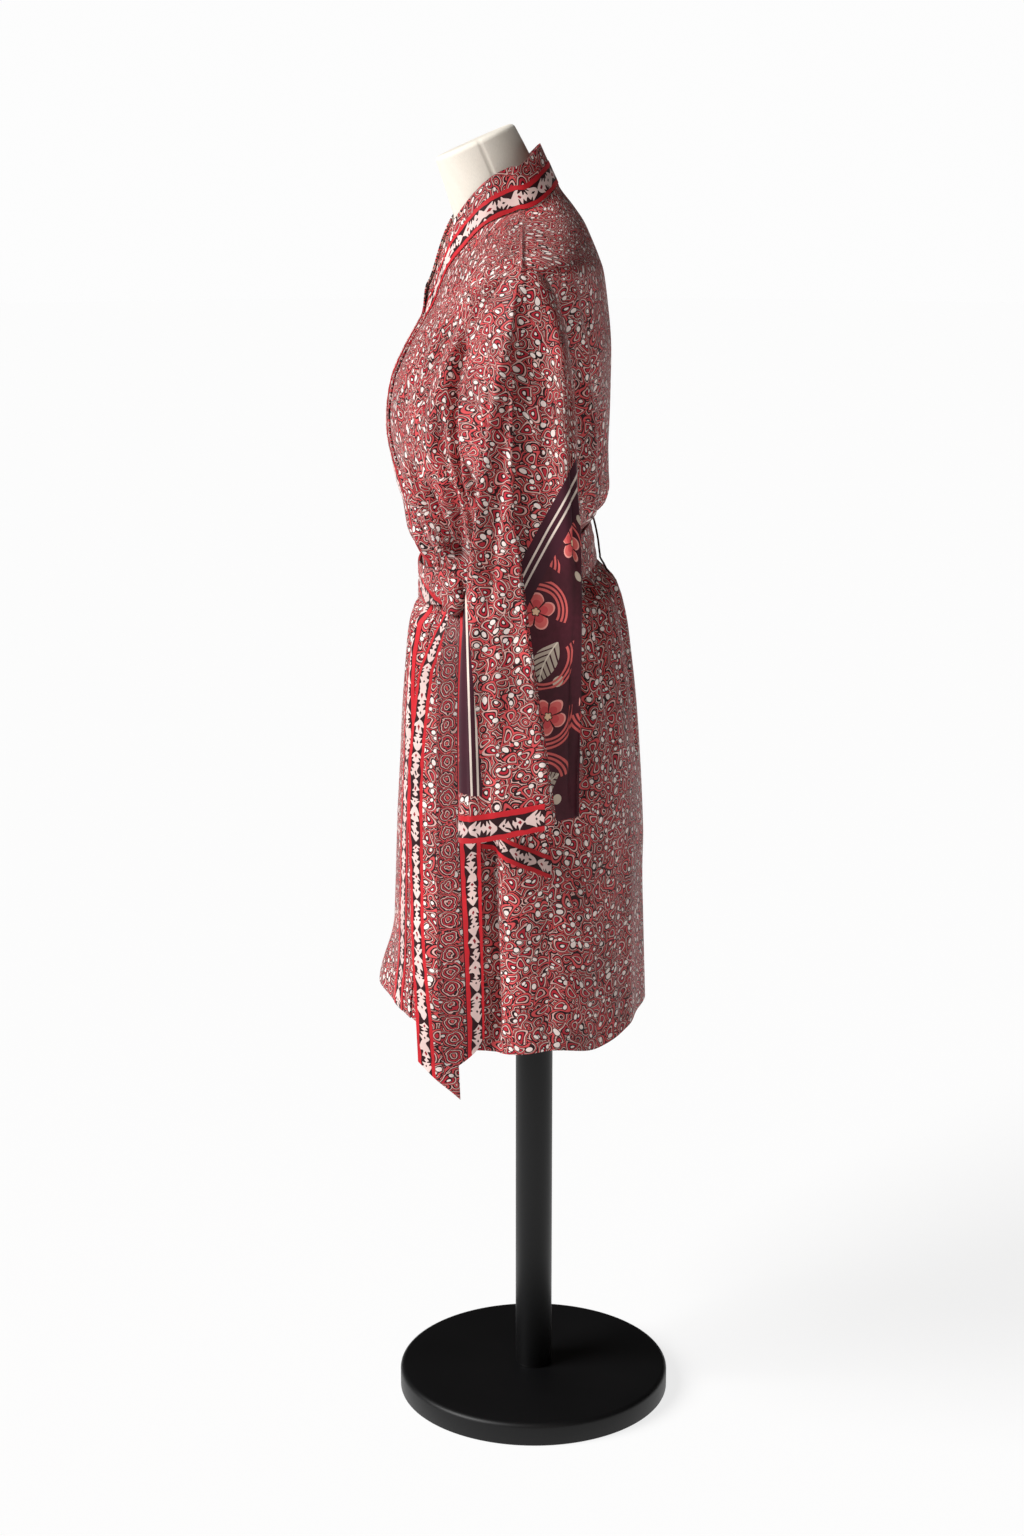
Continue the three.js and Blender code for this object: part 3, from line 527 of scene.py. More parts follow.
def shell(name, outer, uv, ring=False, thickness=CLOTH, inner=None, attributes=None):
    """A closed wall of cloth whose outer face goes through the grid's points."""
    rows, columns = outer.shape[:2]
    if inner is None:
        normals = grid_normals(outer, ring)
        inner = outer - normals * thickness
        centre = outer.reshape(-1, 3).mean(axis=0)
        if not ring and np.sum(normals * (outer - np.array([0, -16, centre[2]]))) < 0:
            inner = outer + normals * thickness
        if ring and np.sum(normals * (outer - outer.mean(axis=1, keepdims=True))) < 0:
            inner = outer + normals * thickness
    verts = np.concatenate([outer.reshape(-1, 3), inner.reshape(-1, 3)]) * MM

    def at(layer, row, col):
        return layer * rows * columns + row * columns + col % columns

    steps = columns if ring else columns - 1
    row, col = np.meshgrid(np.arange(rows - 1), np.arange(steps), indexing="ij")
    corners = [(row, col), (row, col + 1), (row + 1, col + 1), (row + 1, col)]
    parts = [([at(0, r, c) for r, c in corners], corners), ([at(1, r, c) for r, c in corners[::-1]], corners[::-1])]
    edge = np.arange(steps)
    for r, swap in ((0, False), (rows - 1, True)):
        r = np.full(steps, r)
        ends = [(1, r, edge), (1, r, edge + 1), (0, r, edge + 1), (0, r, edge)]
        ends = ends[::-1] if swap else ends
        parts.append(([at(*e) for e in ends], [e[1:] for e in ends]))
    if not ring:
        side = np.arange(rows - 1)
        for c, swap in ((0, True), (columns - 1, False)):
            c = np.full(rows - 1, c)
            ends = [(1, side, c), (1, side + 1, c), (0, side + 1, c), (0, side, c)]
            ends = ends[::-1] if not swap else ends
            parts.append(([at(*e) for e in ends], [e[1:] for e in ends]))
    faces = np.concatenate([np.stack([f.ravel() for f in p[0]], axis=1) for p in parts])
    places = np.concatenate([
        np.stack([uv[c[0].ravel(), c[1].ravel()] for c in p[1]], axis=1) for p in parts])
    a, b, c, d = (verts[faces[:, k]] for k in range(4))
    if np.sum(np.cross(c - a, d - b) * (a + b + c + d)) < 0:
        faces, places = faces[:, ::-1], places[:, ::-1]
    mesh = bpy.data.meshes.new(name)
    mesh.from_pydata(verts.tolist(), [], faces.tolist())
    mesh.uv_layers.new(name="cloth").data.foreach_set("uv", places.reshape(-1).astype(np.float32))
    for key, values in (attributes or {}).items():
        layer = mesh.attributes.new(key, "FLOAT", "POINT")
        layer.data.foreach_set("value", np.tile(values.reshape(-1), 2).astype(np.float32))
    return finish_mesh(name, mesh, 50)


def finish_mesh(name, mesh, sharp):
    mesh.shade_smooth()
    mesh.set_sharp_from_angle(angle=math.radians(sharp))
    mesh.validate()
    piece = bpy.data.objects.new(name, mesh)
    bpy.context.scene.collection.objects.link(piece)
    return piece


def settle(piece, material, slot, *nodes):
    """Gives a piece its material, puts it under the root body, and hides the CAD nodes it stands for."""
    piece.data.materials.clear()
    piece.data.materials.append(material)
    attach(piece, "root")
    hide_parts(*nodes)
    return piece


def mirrored(grid, side):
    return grid * np.array([side, 1, 1])


def solid(name, rings, uv, sharp=50):
    """A closed body from a stack of rings, with a fan at each end."""
    count, sides = rings.shape[:2]
    ends = [rings[0].mean(axis=0), rings[-1].mean(axis=0)]
    verts = np.concatenate([rings.reshape(-1, 3), ends]) * MM
    faces, places = [], []
    for row in range(count - 1):
        for col in range(sides):
            after = (col + 1) % sides
            faces.append((row * sides + col, row * sides + after, (row + 1) * sides + after, (row + 1) * sides + col))
            places += [uv[row, col], uv[row, col + 1], uv[row + 1, col + 1], uv[row + 1, col]]
    for end, row, flip in ((0, 0, True), (1, count - 1, False)):
        for col in range(sides):
            loop = [col, col + 1] if not flip else [col + 1, col]
            faces.append((row * sides + loop[0] % sides, row * sides + loop[1] % sides, count * sides + end))
            places += [uv[row, loop[0]], uv[row, loop[1]], (uv[row, loop[0]] + uv[row, loop[1]]) / 2]
    mesh = bpy.data.meshes.new(name)
    mesh.from_pydata(verts.tolist(), [], faces)
    mesh.uv_layers.new(name="cloth").data.foreach_set("uv", np.array(places, np.float32).reshape(-1))
    a, b, c = (np.array([verts[f[k]] for f in faces]) for k in (0, 1, 2))
    if np.sum(np.cross(b - a, c - a) * (a + b + c)) < 0:
        mesh.flip_normals()
    return finish_mesh(name, mesh, sharp)


# ------------------------------------------------------------------ materials
def dye(code):
    """The colour of a hex code, as a shader takes it."""
    parts = [int(code[i:i + 2], 16) / 255 for i in (0, 2, 4)]
    return (*[c / 12.92 if c <= 0.04045 else ((c + 0.055) / 1.055) ** 2.4 for c in parts], 1.0)


CREAM = dye("dcaea6")
CORAL = dye("cf4b4e")
RED = dye("b52433")
DARK = dye("240a0f")
WHITE = dye("f0e0da")


class Finish:
    """One material's nodes, added a value at a time."""

    def __init__(self, name):
        self.material = bpy.data.materials.new(name)
        self.material.use_nodes = True
        self.tree = self.material.node_tree
        self.shader = self.tree.nodes["Principled BSDF"]

    def node(self, kind, inputs, **settings):
        node = self.tree.nodes.new("ShaderNode" + kind)
        for key, value in settings.items():
            setattr(node, key, value)
        for key, value in inputs.items():
            if isinstance(value, bpy.types.NodeSocket):
                self.tree.links.new(value, node.inputs[key])
            else:
                node.inputs[key].default_value = value
        return node

    def math(self, operation, *values):
        return self.node("Math", dict(enumerate(values)), operation=operation).outputs[0]

    def add(self, a, b):
        return self.math("ADD", a, b)

    def times(self, a, b):
        return self.math("MULTIPLY", a, b)

    def less(self, a, b):
        return self.math("SUBTRACT", a, b)

    def divide(self, a, b):
        return self.math("DIVIDE", a, b)

    def under(self, a, b):
        return self.math("LESS_THAN", a, b)

    def over(self, a, b):
        return self.math("GREATER_THAN", a, b)

    def absolute(self, a):
        return self.math("ABSOLUTE", a)

    def sine(self, a):
        return self.math("SINE", a)

    def fraction(self, a):
        return self.math("FRACT", a)

    def within(self, value, centre, reach):
        """1 where the value is nearer than reach to the centre, otherwise 0."""
        return self.math("COMPARE", value, centre, reach)

    def both(self, a, b):
        return self.math("MINIMUM", a, b)

    def either(self, a, b):
        return self.math("MAXIMUM", a, b)

    def mix(self, share, a, b):
        return self.node("Mix", {0: share, 6: a, 7: b}, data_type="RGBA").outputs[2]

    def shade(self, colour, share):
        """A colour multiplied by a grey value."""
        grey = self.node("CombineColor", {0: share, 1: share, 2: share}).outputs[0]
        return self.node("Mix", {0: 1.0, 6: colour, 7: grey}, data_type="RGBA", blend_type="MULTIPLY").outputs[2]

    def ramp(self, value, stops, steps=True):
        node = self.node("ValToRGB", {0: value})
        bands = node.color_ramp
        bands.interpolation = "CONSTANT" if steps else "EASE"
        bands.elements[0].position, bands.elements[0].color = stops[0]
        bands.elements[1].position, bands.elements[1].color = stops[1]
        for place, colour in stops[2:]:
            bands.elements.new(place).color = colour
        return node.outputs[0]

    def split(self, vector):
        parts = self.node("SeparateXYZ", {0: vector})
        return parts.outputs[0], parts.outputs[1]

    def join(self, x, y, z=0.0):
        return self.node("CombineXYZ", {0: x, 1: y, 2: z}).outputs[0]

    def vector(self, operation, *values):
        return self.node("VectorMath", dict(enumerate(values)), operation=operation).outputs[0]

    def flat(self):
        """Places on the flat cloth, in metres."""
        return self.node("UVMap", {}, uv_map="cloth").outputs[0]

    def noise(self, place, scale, detail=2.0, dimensions="2D"):
        return self.node(
            "TexNoise", {"Vector": place, "Scale": scale, "Detail": detail}, noise_dimensions=dimensions)

    def cells(self, place, pitch, scatter):
        """Cells of a pitch: places from each cell's centre, how far that is, and the cell's own colour."""
        scaled = self.vector("SCALE", place)
        scaled.node.inputs["Scale"].default_value = 1 / pitch
        node = self.node("TexVoronoi", {"Vector": scaled, "Scale": 1.0, "Randomness": scatter}, voronoi_dimensions="2D")
        local = self.vector("SUBTRACT", scaled, node.outputs["Position"])
        return local, node.outputs["Distance"], node.outputs["Color"]

    def parts(self, colour):
        return self.node("SeparateColor", {0: colour}).outputs

    def turned(self, place, share):
        """Places turned by a share of a full turn."""
        inputs = {"Vector": place, "Angle": self.times(share, 6.283)}
        return self.node("VectorRotate", inputs, rotation_type="Z_AXIS").outputs[0]

    def span(self, value, low, high, start=0.0, end=1.0):
        """A value brought from 0..1, or start..end, to low..high."""
        inputs = {"Value": value, "From Min": start, "From Max": end, "To Min": low, "To Max": high}
        return self.node("MapRange", inputs).outputs[0]

    def attribute(self, name):
        return self.node("Attribute", {}, attribute_name=name).outputs["Fac"]

    def done(self, colour, roughness, bump=None, strength=0.2, distance=0.0004, **constants):
        sockets = self.shader.inputs
        for key, value in (("Base Color", colour), ("Roughness", roughness)):
            if isinstance(value, bpy.types.NodeSocket):
                self.tree.links.new(value, sockets[key])
            else:
                sockets[key].default_value = value
        for key, value in constants.items():
            sockets[key.replace("_", " ")].default_value = value
        if bump is not None:
            node = self.node("Bump", {"Strength": strength, "Distance": distance, "Height": bump})
            self.tree.links.new(node.outputs[0], sockets["Normal"])
        return self.material


def weave(f, place, pitch):
    """Threads over and under each other, with uneven thickness."""
    x, y = f.split(place)
    turn = 2 * math.pi / pitch
    threads = f.add(f.sine(f.times(x, turn)), f.sine(f.times(y, turn)))
    slub = f.noise(f.vector("MULTIPLY", place, (3.0, 0.25, 1.0)), 900.0, 1.0).outputs["Fac"]
    return f.add(f.times(threads, 0.25), slub)


def paisley(f, place):
    """A crowd of curled drops ringed by thin lines, with scrolls and outlined dots between them."""
    drift = f.noise(place, 38.0, 1.0).outputs["Color"]
    drift = f.vector("SUBTRACT", drift, (0.5, 0.5, 0.5))
    bent = f.vector("MULTIPLY_ADD", drift, (0.0095, 0.0095, 0.0), place)
    local, _, own = f.cells(bent, DROP_PITCH, 0.7)
    own_parts = f.parts(own)
    x, y = f.split(f.turned(local, own_parts[0]))
    curled = f.less(y, f.times(f.times(x, x), 1.1))
    width = f.either(f.less(0.36, f.times(x, 0.4)), 0.05)
    across = f.divide(curled, width)
    along = f.times(x, 1.65)
    ring = f.math("SQRT", f.add(f.times(across, across), f.times(along, along)))
    warm = f.ramp(ring, [(0.0, WHITE), (0.17, DARK), (0.32, RED), (0.52, DARK), (0.64, CREAM), (0.78, DARK),
                         (0.86, CORAL), (0.95, DARK)])
    pale = f.ramp(ring, [(0.0, RED), (0.24, DARK), (0.36, CREAM), (0.5, DARK), (0.62, CORAL), (0.84, DARK)])
    drops = f.mix(f.over(own_parts[1], 0.5), warm, pale)
    _, dot_reach, dot_own = f.cells(bent, DOT_PITCH, 0.85)
    scroll = f.fraction(f.add(f.times(dot_reach, 2.9), f.times(f.noise(bent, 42.0, 1.0).outputs["Fac"], 2.6)))
    ground = f.ramp(scroll, [(0.0, DARK), (0.28, CREAM), (0.48, DARK), (0.66, CORAL), (0.9, DARK)])
    print_colour = f.mix(f.over(ring, 1.0), drops, ground)
    dot_parts = f.parts(dot_own)
    chosen = f.over(dot_parts[0], 0.45)
    dot = f.add(f.times(dot_parts[1], 0.13), 0.14)
    print_colour = f.mix(f.both(chosen, f.under(dot_reach, f.add(dot, 0.08))), print_colour, DARK)
    return f.mix(f.both(chosen, f.under(dot_reach, dot)), print_colour, WHITE)


def chain(f, across, along, width):
    """A border: a red line at each edge, and between them a pale scalloped chain with drops in it, on a dark ground."""
    wobble = f.less(f.noise(f.join(across, along), 60.0, 1.0).outputs["Fac"], 0.5)
    centred = f.less(f.add(across, f.times(wobble, 0.003)), width / 2)
    side = f.absolute(centred)
    run = f.add(along, f.times(wobble, 0.012))
    swing = f.sine(f.times(run, math.pi / SCALLOP))
    lozenge = f.math("POWER", f.absolute(swing), 1.3)
    skew = f.times(swing, 800.0)
    leaf = f.sine(f.add(f.times(run, 2 * math.pi / SCALLOP_LEAF), f.times(side, skew)))
    half = f.add(f.add(f.times(lozenge, width * 0.14), f.times(leaf, width * 0.085)), width * 0.085)
    half = f.add(half, f.times(wobble, width * 0.3))
    colour = f.mix(f.under(side, half), dye("2b0910"), dye("e6c9c3"))
    for place, long, wide, ink in ((0.75, 7.5, 0.085, "8f1f2b"), (0.25, 10.0, 0.06, "2b0910")):
        hole = f.absolute(f.less(f.fraction(f.divide(run, 2 * SCALLOP)), place))
        hole = f.add(f.divide(side, width * wide), f.times(hole, long * 1.7))
        colour = f.mix(f.under(hole, 1.0), colour, dye(ink))
    return f.mix(f.over(side, width * 0.31), colour, dye("c4202a"))


def flowers(f, place):
    """A dark ground with coral flowers and their scrolls, pale veined leaves, and dots, each in its own cell."""
    local, reach, own = f.cells(place, FLOWER_PITCH, 0.5)
    own_parts = f.parts(own)
    kind = own_parts[2]
    x, y = f.split(f.turned(local, own_parts[1]))
    round_turn = f.math("ARCTAN2", y, x)
    petals = f.absolute(f.math("COSINE", f.times(round_turn, 2.5)))
    bloom = f.divide(reach, f.add(f.times(petals, 0.13), 0.21))
    flower = f.ramp(bloom, [
        (0.0, dye("f0c8a4")), (0.2, DARK), (0.26, CORAL), (0.62, dye("d9635f")), (0.9, dye("ee9c92"))])
    flower = f.mix(f.both(f.under(petals, 0.2), f.over(bloom, 0.26)), flower, DARK)
    rings = f.fraction(f.times(reach, 13.0))
    scroll = f.both(f.over(reach, 0.38), f.under(reach, 0.6))
    scroll = f.both(f.over(round_turn, 0.7), scroll)
    scroll = f.both(f.under(rings, 0.55), scroll)
    bowed = f.less(y, f.times(f.times(x, x), 0.5))
    leaf_width = f.either(f.less(0.22, f.times(f.times(x, x), 1.6)), 0.001)
    leaf = f.divide(f.absolute(bowed), leaf_width)
    leaf = f.add(leaf, f.under(leaf_width, 0.012))
    veins = f.fraction(f.times(f.add(x, f.absolute(bowed)), 8.0))
    leaf_colour = f.mix(f.under(veins, 0.3), dye("b5a595"), dye("45202a"))
    leaf_colour = f.mix(f.under(f.absolute(bowed), 0.014), leaf_colour, dye("d8cbbb"))
    ground = f.mix(f.noise(place, 180.0, 2.0).outputs["Fac"], dye("3c0e1a"), dye("4d1725"))
    _, dot_reach, dot_own = f.cells(place, FLOWER_DOT_PITCH, 0.6)
    small = f.both(f.under(dot_reach, 0.125), f.over(f.parts(dot_own)[0], 0.55))
    ground = f.mix(small, ground, dye("cbb9a6"))
    ground = f.mix(scroll, ground, dye("d4605c"))
    with_leaf = f.mix(f.both(f.under(leaf, 1.0), f.over(kind, 0.5)), ground, leaf_colour)
    return f.mix(f.both(f.under(bloom, 1.0), f.under(kind, 0.5)), with_leaf, flower)


def rosettes(f, across, along, width):
    """One row of ringed ovals, with darker paisley round them."""
    wobble = f.less(f.noise(f.join(across, along), 110.0, 2.0).outputs["Fac"], 0.5)
    x = f.add(f.less(across, width / 2), f.times(wobble, 0.005))
    y = f.divide(f.add(along, f.times(wobble, 0.008)), ROSETTE_PITCH)
    y = f.times(f.less(f.fraction(y), 0.5), ROSETTE_PITCH)
    leaned = f.add(y, f.times(x, 0.3))
    reach = f.math("SQRT", f.add(f.times(f.times(x, x), 1.15), f.times(leaned, leaned)))
    colour = f.ramp(f.divide(reach, ROSETTE_REACH), [
        (0.0, CORAL), (0.14, DARK), (0.24, CREAM), (0.33, DARK), (0.44, RED), (0.56, DARK), (0.64, CREAM), (0.72, DARK),
        (0.84, CORAL), (0.93, DARK)])
    filler = f.shade(paisley(f, f.join(across, along)), 0.75)
    return f.shade(f.mix(f.over(reach, ROSETTE_REACH), colour, filler), 0.72)


def cloth_done(f, colour, place, roughness=0.56):
    """Finishes a printed cloth: random patches of painted shade and light standing in for the shade of its folds,
    thread weave and a soft sheen.
    """
    shade_patches = f.noise(place, 17.0, 3.0).outputs["Fac"]
    # Painted shade and light: the colour is darkened and lightened in random patches, standing in for the shade of the
    # folds.
    colour = f.shade(colour, f.span(shade_patches, 0.76, 1.14, 0.25, 0.75))
    gloss = f.span(shade_patches, roughness - 0.06, roughness + 0.08)
    material = f.done(
        colour, gloss, weave(f, place, THREAD_PITCH), 0.25, 0.0003, Sheen_Weight=0.06, Sheen_Roughness=0.4,
        Specular_IOR_Level=0.22)
    material.diffuse_color = (0.5, 0.2, 0.22, 1)
    return material


def printed_material():
    """Paisley, with a row of stitches above the hem."""
    f = Finish("paisley cloth")
    place = f.flat()
    across, _ = f.split(place)
    stitches = f.both(f.within(f.attribute("hem"), STITCH_HEIGHT, 0.55),
                      f.over(f.sine(f.times(across, 2 * math.pi / STITCH_PITCH)), -0.4))
    return cloth_done(f, f.mix(f.times(stitches, 0.75), paisley(f, place), dye("4b121c")), place)


def sleeve_material():
    """Paisley, with dark flowered panels edged by two pale stripes where the attribute zone is above zero."""
    f = Finish("sleeve cloth")
    place = f.flat()
    stripe = f.attribute("stripe")
    dark = f.mix(f.over(stripe, 24.0), dye("3f1222"), flowers(f, place))
    lines = f.either(f.within(stripe, 5.0, 1.1), f.within(stripe, 11.8, 1.1))
    dark = f.mix(lines, dark, dye("e3d2c6"))
    zone = f.over(f.attribute("zone"), 0.0)
    return cloth_done(f, f.mix(zone, paisley(f, place), dark), place)


def border_material(width):
    f = Finish("border cloth")
    place = f.flat()
    across, along = f.split(place)
    return cloth_done(f, chain(f, across, along, width), place)


def belt_material():
    """Paisley with the border along the upper edge, turned out of sight near the knot and at centre back."""
    f = Finish("belt cloth")
    place = f.flat()
    across, along = f.split(place)
    slide = f.either(f.span(across, 0.0, 0.045, 0.405, 0.53), f.span(across, 0.0, 0.045, 0.14, 0.02))
    edge = f.add(f.less(along, 0.0215), slide)
    border = f.shade(chain(f, edge, across, BELT_BORDER), 0.85)
    bordered = f.both(f.over(edge, 0.0), f.under(edge, BELT_BORDER))
    return cloth_done(f, f.mix(bordered, paisley(f, place), border), place)


def tail_a_material():
    f = Finish("belt end with border")
    place = f.flat()
    across, along = f.split(place)
    border = chain(f, across, along, TAIL_A_BORDER)
    return cloth_done(f, f.mix(f.under(across, TAIL_A_BORDER), paisley(f, place), border), place)


def tail_b_material():
    f = Finish("belt end with rosettes")
    place = f.flat()
    across, along = f.split(place)
    # A thin dark line is painted between the rosette row and the border: painted shadow where the border meets the row.
    shadow_line_start, shadow_line_end = ROSETTE_ROW - 0.0001, ROSETTE_ROW + 0.0007
    row = rosettes(f, across, along, ROSETTE_ROW)
    border = chain(f, f.less(across, shadow_line_end), along, TAIL_B_BORDER)
    row = f.mix(f.under(across, shadow_line_start), dye("2b0910"), row)
    return cloth_done(f, f.mix(f.under(across, shadow_line_end), border, row), place)


def thread_material():
    f = Finish("twisted thread")
    place = f.flat()
    x, y = f.split(place)
    twist = f.sine(f.add(f.times(x, 2400.0), f.times(y, 3600.0)))
    colour = f.mix(f.times(f.add(twist, 1.0), 0.5), dye("1d0a0e"), dye("43161f"))
    return f.done(colour, 0.85, twist, 0.5, 0.0003, Specular_IOR_Level=0.1)


def linen_material():
    f = Finish("linen cover")
    place = f.flat()
    patch = f.noise(place, 34.0, 3.0).outputs["Fac"]
    fleck = f.noise(f.vector("MULTIPLY", place, (1.0, 0.2, 1.0)), 1500.0, 2.0).outputs["Fac"]
    colour = f.mix(patch, dye("ebe3d5"), dye("f2ebdf"))
    colour = f.shade(colour, f.span(fleck, 0.9, 1.06))
    return f.done(colour, 0.85, weave(f, place, 0.0013), 0.45, 0.0004, Sheen_Weight=0.15)


def black_material():
    f = Finish("satin black metal")
    place = f.node("TexCoord", {}).outputs["Object"]
    grain = f.noise(place, 900.0, 2.0, "3D").outputs["Fac"]
    smear = f.noise(place, 9.0, 3.0, "3D").outputs["Fac"]
    colour = f.mix(smear, dye("080809"), dye("0e0e0f"))
    gloss = f.span(smear, 0.36, 0.52)
    return f.done(colour, gloss, grain, 0.12, 0.0002, Specular_IOR_Level=0.28)


paisley_cloth = printed_material()
sleeve_cloth = sleeve_material()
border_cloth = border_material(BORDER_PRINT)
belt_cloth = belt_material()
tail_a_cloth = tail_a_material()
tail_b_cloth = tail_b_material()
thread = thread_material()
linen = linen_material()
black = black_material()


# ------------------------------------------------------------------ body panels
def gap_turn(h):
    return np.degrees(SEAM_GAP / 2 / column(RINGS, "h", h, "half"))


def armhole(h):
    climb = np.clip((h - UNDERARM) / (SHOULDER - UNDERARM), 0, 1)
    return np.sqrt(np.maximum(1 - (2 * climb - 1) ** 2, 0)) ** 0.9


def side_edge(h, spread):
    """The panel edge's turn at the side: the side seam, the armhole, then the shoulder seam."""
    seam = 90 + 11 * smooth((UNDERARM - h) / 280)
    inside = (h > UNDERARM) & (h < SHOULDER)
    return np.where(inside, 90 + spread * armhole(h), seam) + np.sign(spread) * gap_turn(h)


def front_edge(h, which):
    return turn_at_x(h, column(RINGS, "h", h, which))


def band_gap(h, turn):
    return gap_turn(h) / np.maximum(0.2, np.cos(np.radians(turn)))


def wrap_lift(h, turn):
    return WRAP_LIFT * smooth((turn + 82) / 40) * smooth((NECK + 6 - h) / 50)


ARM_TURNS = np.linspace(math.pi, 0, 62)
HEIGHTS = np.concatenate([
    np.linspace(HEM, UNDERARM, 112)[:-1],
    UNDERARM + (SHOULDER - UNDERARM) * (1 + np.cos(ARM_TURNS)) / 2,
    np.linspace(SHOULDER, NECK, 18)[1:],
])


def panel(name, start, end, columns, lift):
    """A panel on the robe's form between two edges."""
    share = np.linspace(0, 1, columns + 1)
    turns = start[:, None] + (end - start)[:, None] * share
    grid = cloth_point(HEIGHTS[:, None] + 0 * turns, turns, lift(HEIGHTS[:, None], turns))
    uv = cloth_uv(grid, across_start=columns // 2)
    above_hem = np.broadcast_to((HEIGHTS - HEM)[:, None], turns.shape)
    return shell(name, grid, uv, attributes={"hem": above_hem})


def no_lift(h, turn):
    return 0.0 * turn


back_start = side_edge(HEIGHTS, ARMHOLE_REAR)
back = panel("robe_back", back_start, 360 - back_start, 156, no_lift)
left_end = side_edge(HEIGHTS, -ARMHOLE_FRONT)
left_start = front_edge(HEIGHTS, "edge")
left_start = np.minimum(left_start + band_gap(HEIGHTS, left_start), left_end - 2)
left_front = panel("robe_left_front", left_start, left_end, 112, no_lift)
right_end = front_edge(HEIGHTS, "wrap")
right_end = np.maximum(right_end - band_gap(HEIGHTS, right_end), 2 - left_end)
right_front = panel("robe_right_front", -left_end, right_end, 112, wrap_lift)


# ------------------------------------------------------------------ neckband and its border
def band_strip(name, side, reaches, lift, thickness):
    """A strip along one side's neckband, through distances from its seam, from the hem up to centre back."""
    which = "edge" if side > 0 else "wrap"
    heights = HEIGHTS[:-1]
    reach = np.asarray(reaches, float)[None, :]
    h = heights[:, None]
    start = turn_at_x(h, column(RINGS, "h", h, which))
    base_lift = 0 * start if side > 0 else wrap_lift(h, start)
    per_degree = np.linalg.norm(robe(h, start + 0.5) - robe(h, start - 0.5), axis=-1)
    slope = side * (column(RINGS, "h", h + 4, which) - column(RINGS, "h", h - 4, which)) / 8
    across = 1 / np.hypot(1, slope)
    turn = start - side * reach * across / per_degree
    settle_down = 2.1 * smooth(reach / 40) * smooth((1330 - h) / 40) if side < 0 else 0.0
    on_robe = cloth_point(np.maximum(h + slope * across * reach, HEM), turn, base_lift + lift - settle_down)

    edge_lift = 0 * heights if side > 0 else wrap_lift(heights, 0 * heights)
    seam_turn = turn_at_x(heights, column(RINGS, "h", heights, which))
    front_seam = cloth_point(heights, seam_turn, edge_lift)
    front_away = np.stack([column(FRONT_STATIONS, "h", heights, k) for k in "xyz"], axis=-1)
    corner = float(turn_at_x(np.array(float(NECK)), column(RINGS, "h", np.array(float(NECK)), which)))
    neck_turns = np.linspace(abs(corner), 180, 44)
    neck_lift = 0 * neck_turns
    neck_seam = robe(np.full_like(neck_turns, NECK), side * neck_turns)
    if side < 0:
        fade = wrap_lift(np.array([float(NECK)]), np.array([0.0]))[0]
        neck_lift = fade * (1 - smooth((neck_turns - abs(corner)) / 20))
    neck_seam = neck_seam + np.array([0, 0, 1.0]) * neck_lift[:, None]
    neck_away = np.stack([column(NECK_STATIONS, "turn", neck_turns, k) for k in "xyz"], axis=-1)
    seam = np.concatenate([front_seam, neck_seam])
    away = unit(np.concatenate([front_away, neck_away]) * np.array([side, 1, 1]))
    tangent = np.gradient(seam, axis=0)
    for _ in range(4):
        tangent[1:-1] = (tangent[:-2] + 2 * tangent[1:-1] + tangent[2:]) / 4
    tangent = unit(tangent)
    outward = unit(np.cross(away, tangent)) * -side
    leaning = seam[:, None] + away[:, None] * (reach[..., None] + 0.7) + outward[:, None] * lift
    share = smooth((heights - LEAN_START + 26) / 26)[:, None, None]
    count = len(heights)
    grid = leaning.copy()
    grid[:count] = on_robe * (1 - share) + leaning[:count] * share
    grid[-1, :, 0] = side * SEAM_GAP / 2
    uv = cloth_uv(grid, even=True)
    return shell(name, grid, uv, thickness=thickness)


bands, borders = {}, {}
for word, side in (("left", 1), ("right", -1)):
    reaches = np.linspace(SEAM_GAP / 2, NECKBAND_WIDTH, 15)
    bands[word] = band_strip(f"neckband_{word}_cloth", side, reaches, 0.0, BAND_CLOTH)
    borders[word] = band_strip(
        f"border_{word}_cloth", side, np.linspace(0.7, BORDER_WIDTH - 0.3, 9), BORDER_LIFT, BORDER_CLOTH)


# ------------------------------------------------------------------ sleeves
def armhole_point(angle):
    h = UNDERARM + (SHOULDER - UNDERARM) * (1 + np.cos(angle)) / 2
    s = np.sin(angle)
    spread = np.where(s > 0, -ARMHOLE_FRONT, ARMHOLE_REAR)
    rim = cloth_point(h, 90 + spread * np.abs(s) ** 0.9)
    centre = robe(np.array((SHOULDER + UNDERARM) / 2), np.array(90.0))
    inward = (centre - rim) * np.array([0, 1, 1])
    return rim + unit(inward) * SEAM_GAP


def sleeve_tube(t, angle):
    value = {name: column(SLEEVE, "t", t, name) for name in ("outX", "outZ", "inX", "inZ", "foreY", "aftY")}
    c, s = signed_power(np.cos(angle), 0.8), signed_power(np.sin(angle), 0.8)
    mid = (value["foreY"] + value["aftY"]) / 2
    y = mid + np.where(s > 0, value["foreY"] - mid, mid - value["aftY"]) * s
    share = (1 + c) / 2
    return np.stack([
        value["inX"] + (value["outX"] - value["inX"]) * share,
        y,
        value["inZ"] + (value["outZ"] - value["inZ"]) * share + CUFF_SLANT * (y - mid) * smooth(t * 2 - 1),
    ], axis=-1)


def fold_place(point):
    """How far a point of the sleeve's outside lies behind the edge of its long fold."""
    return point[..., 1] - column(SLEEVE_FOLD, "z", point[..., 2], "y")


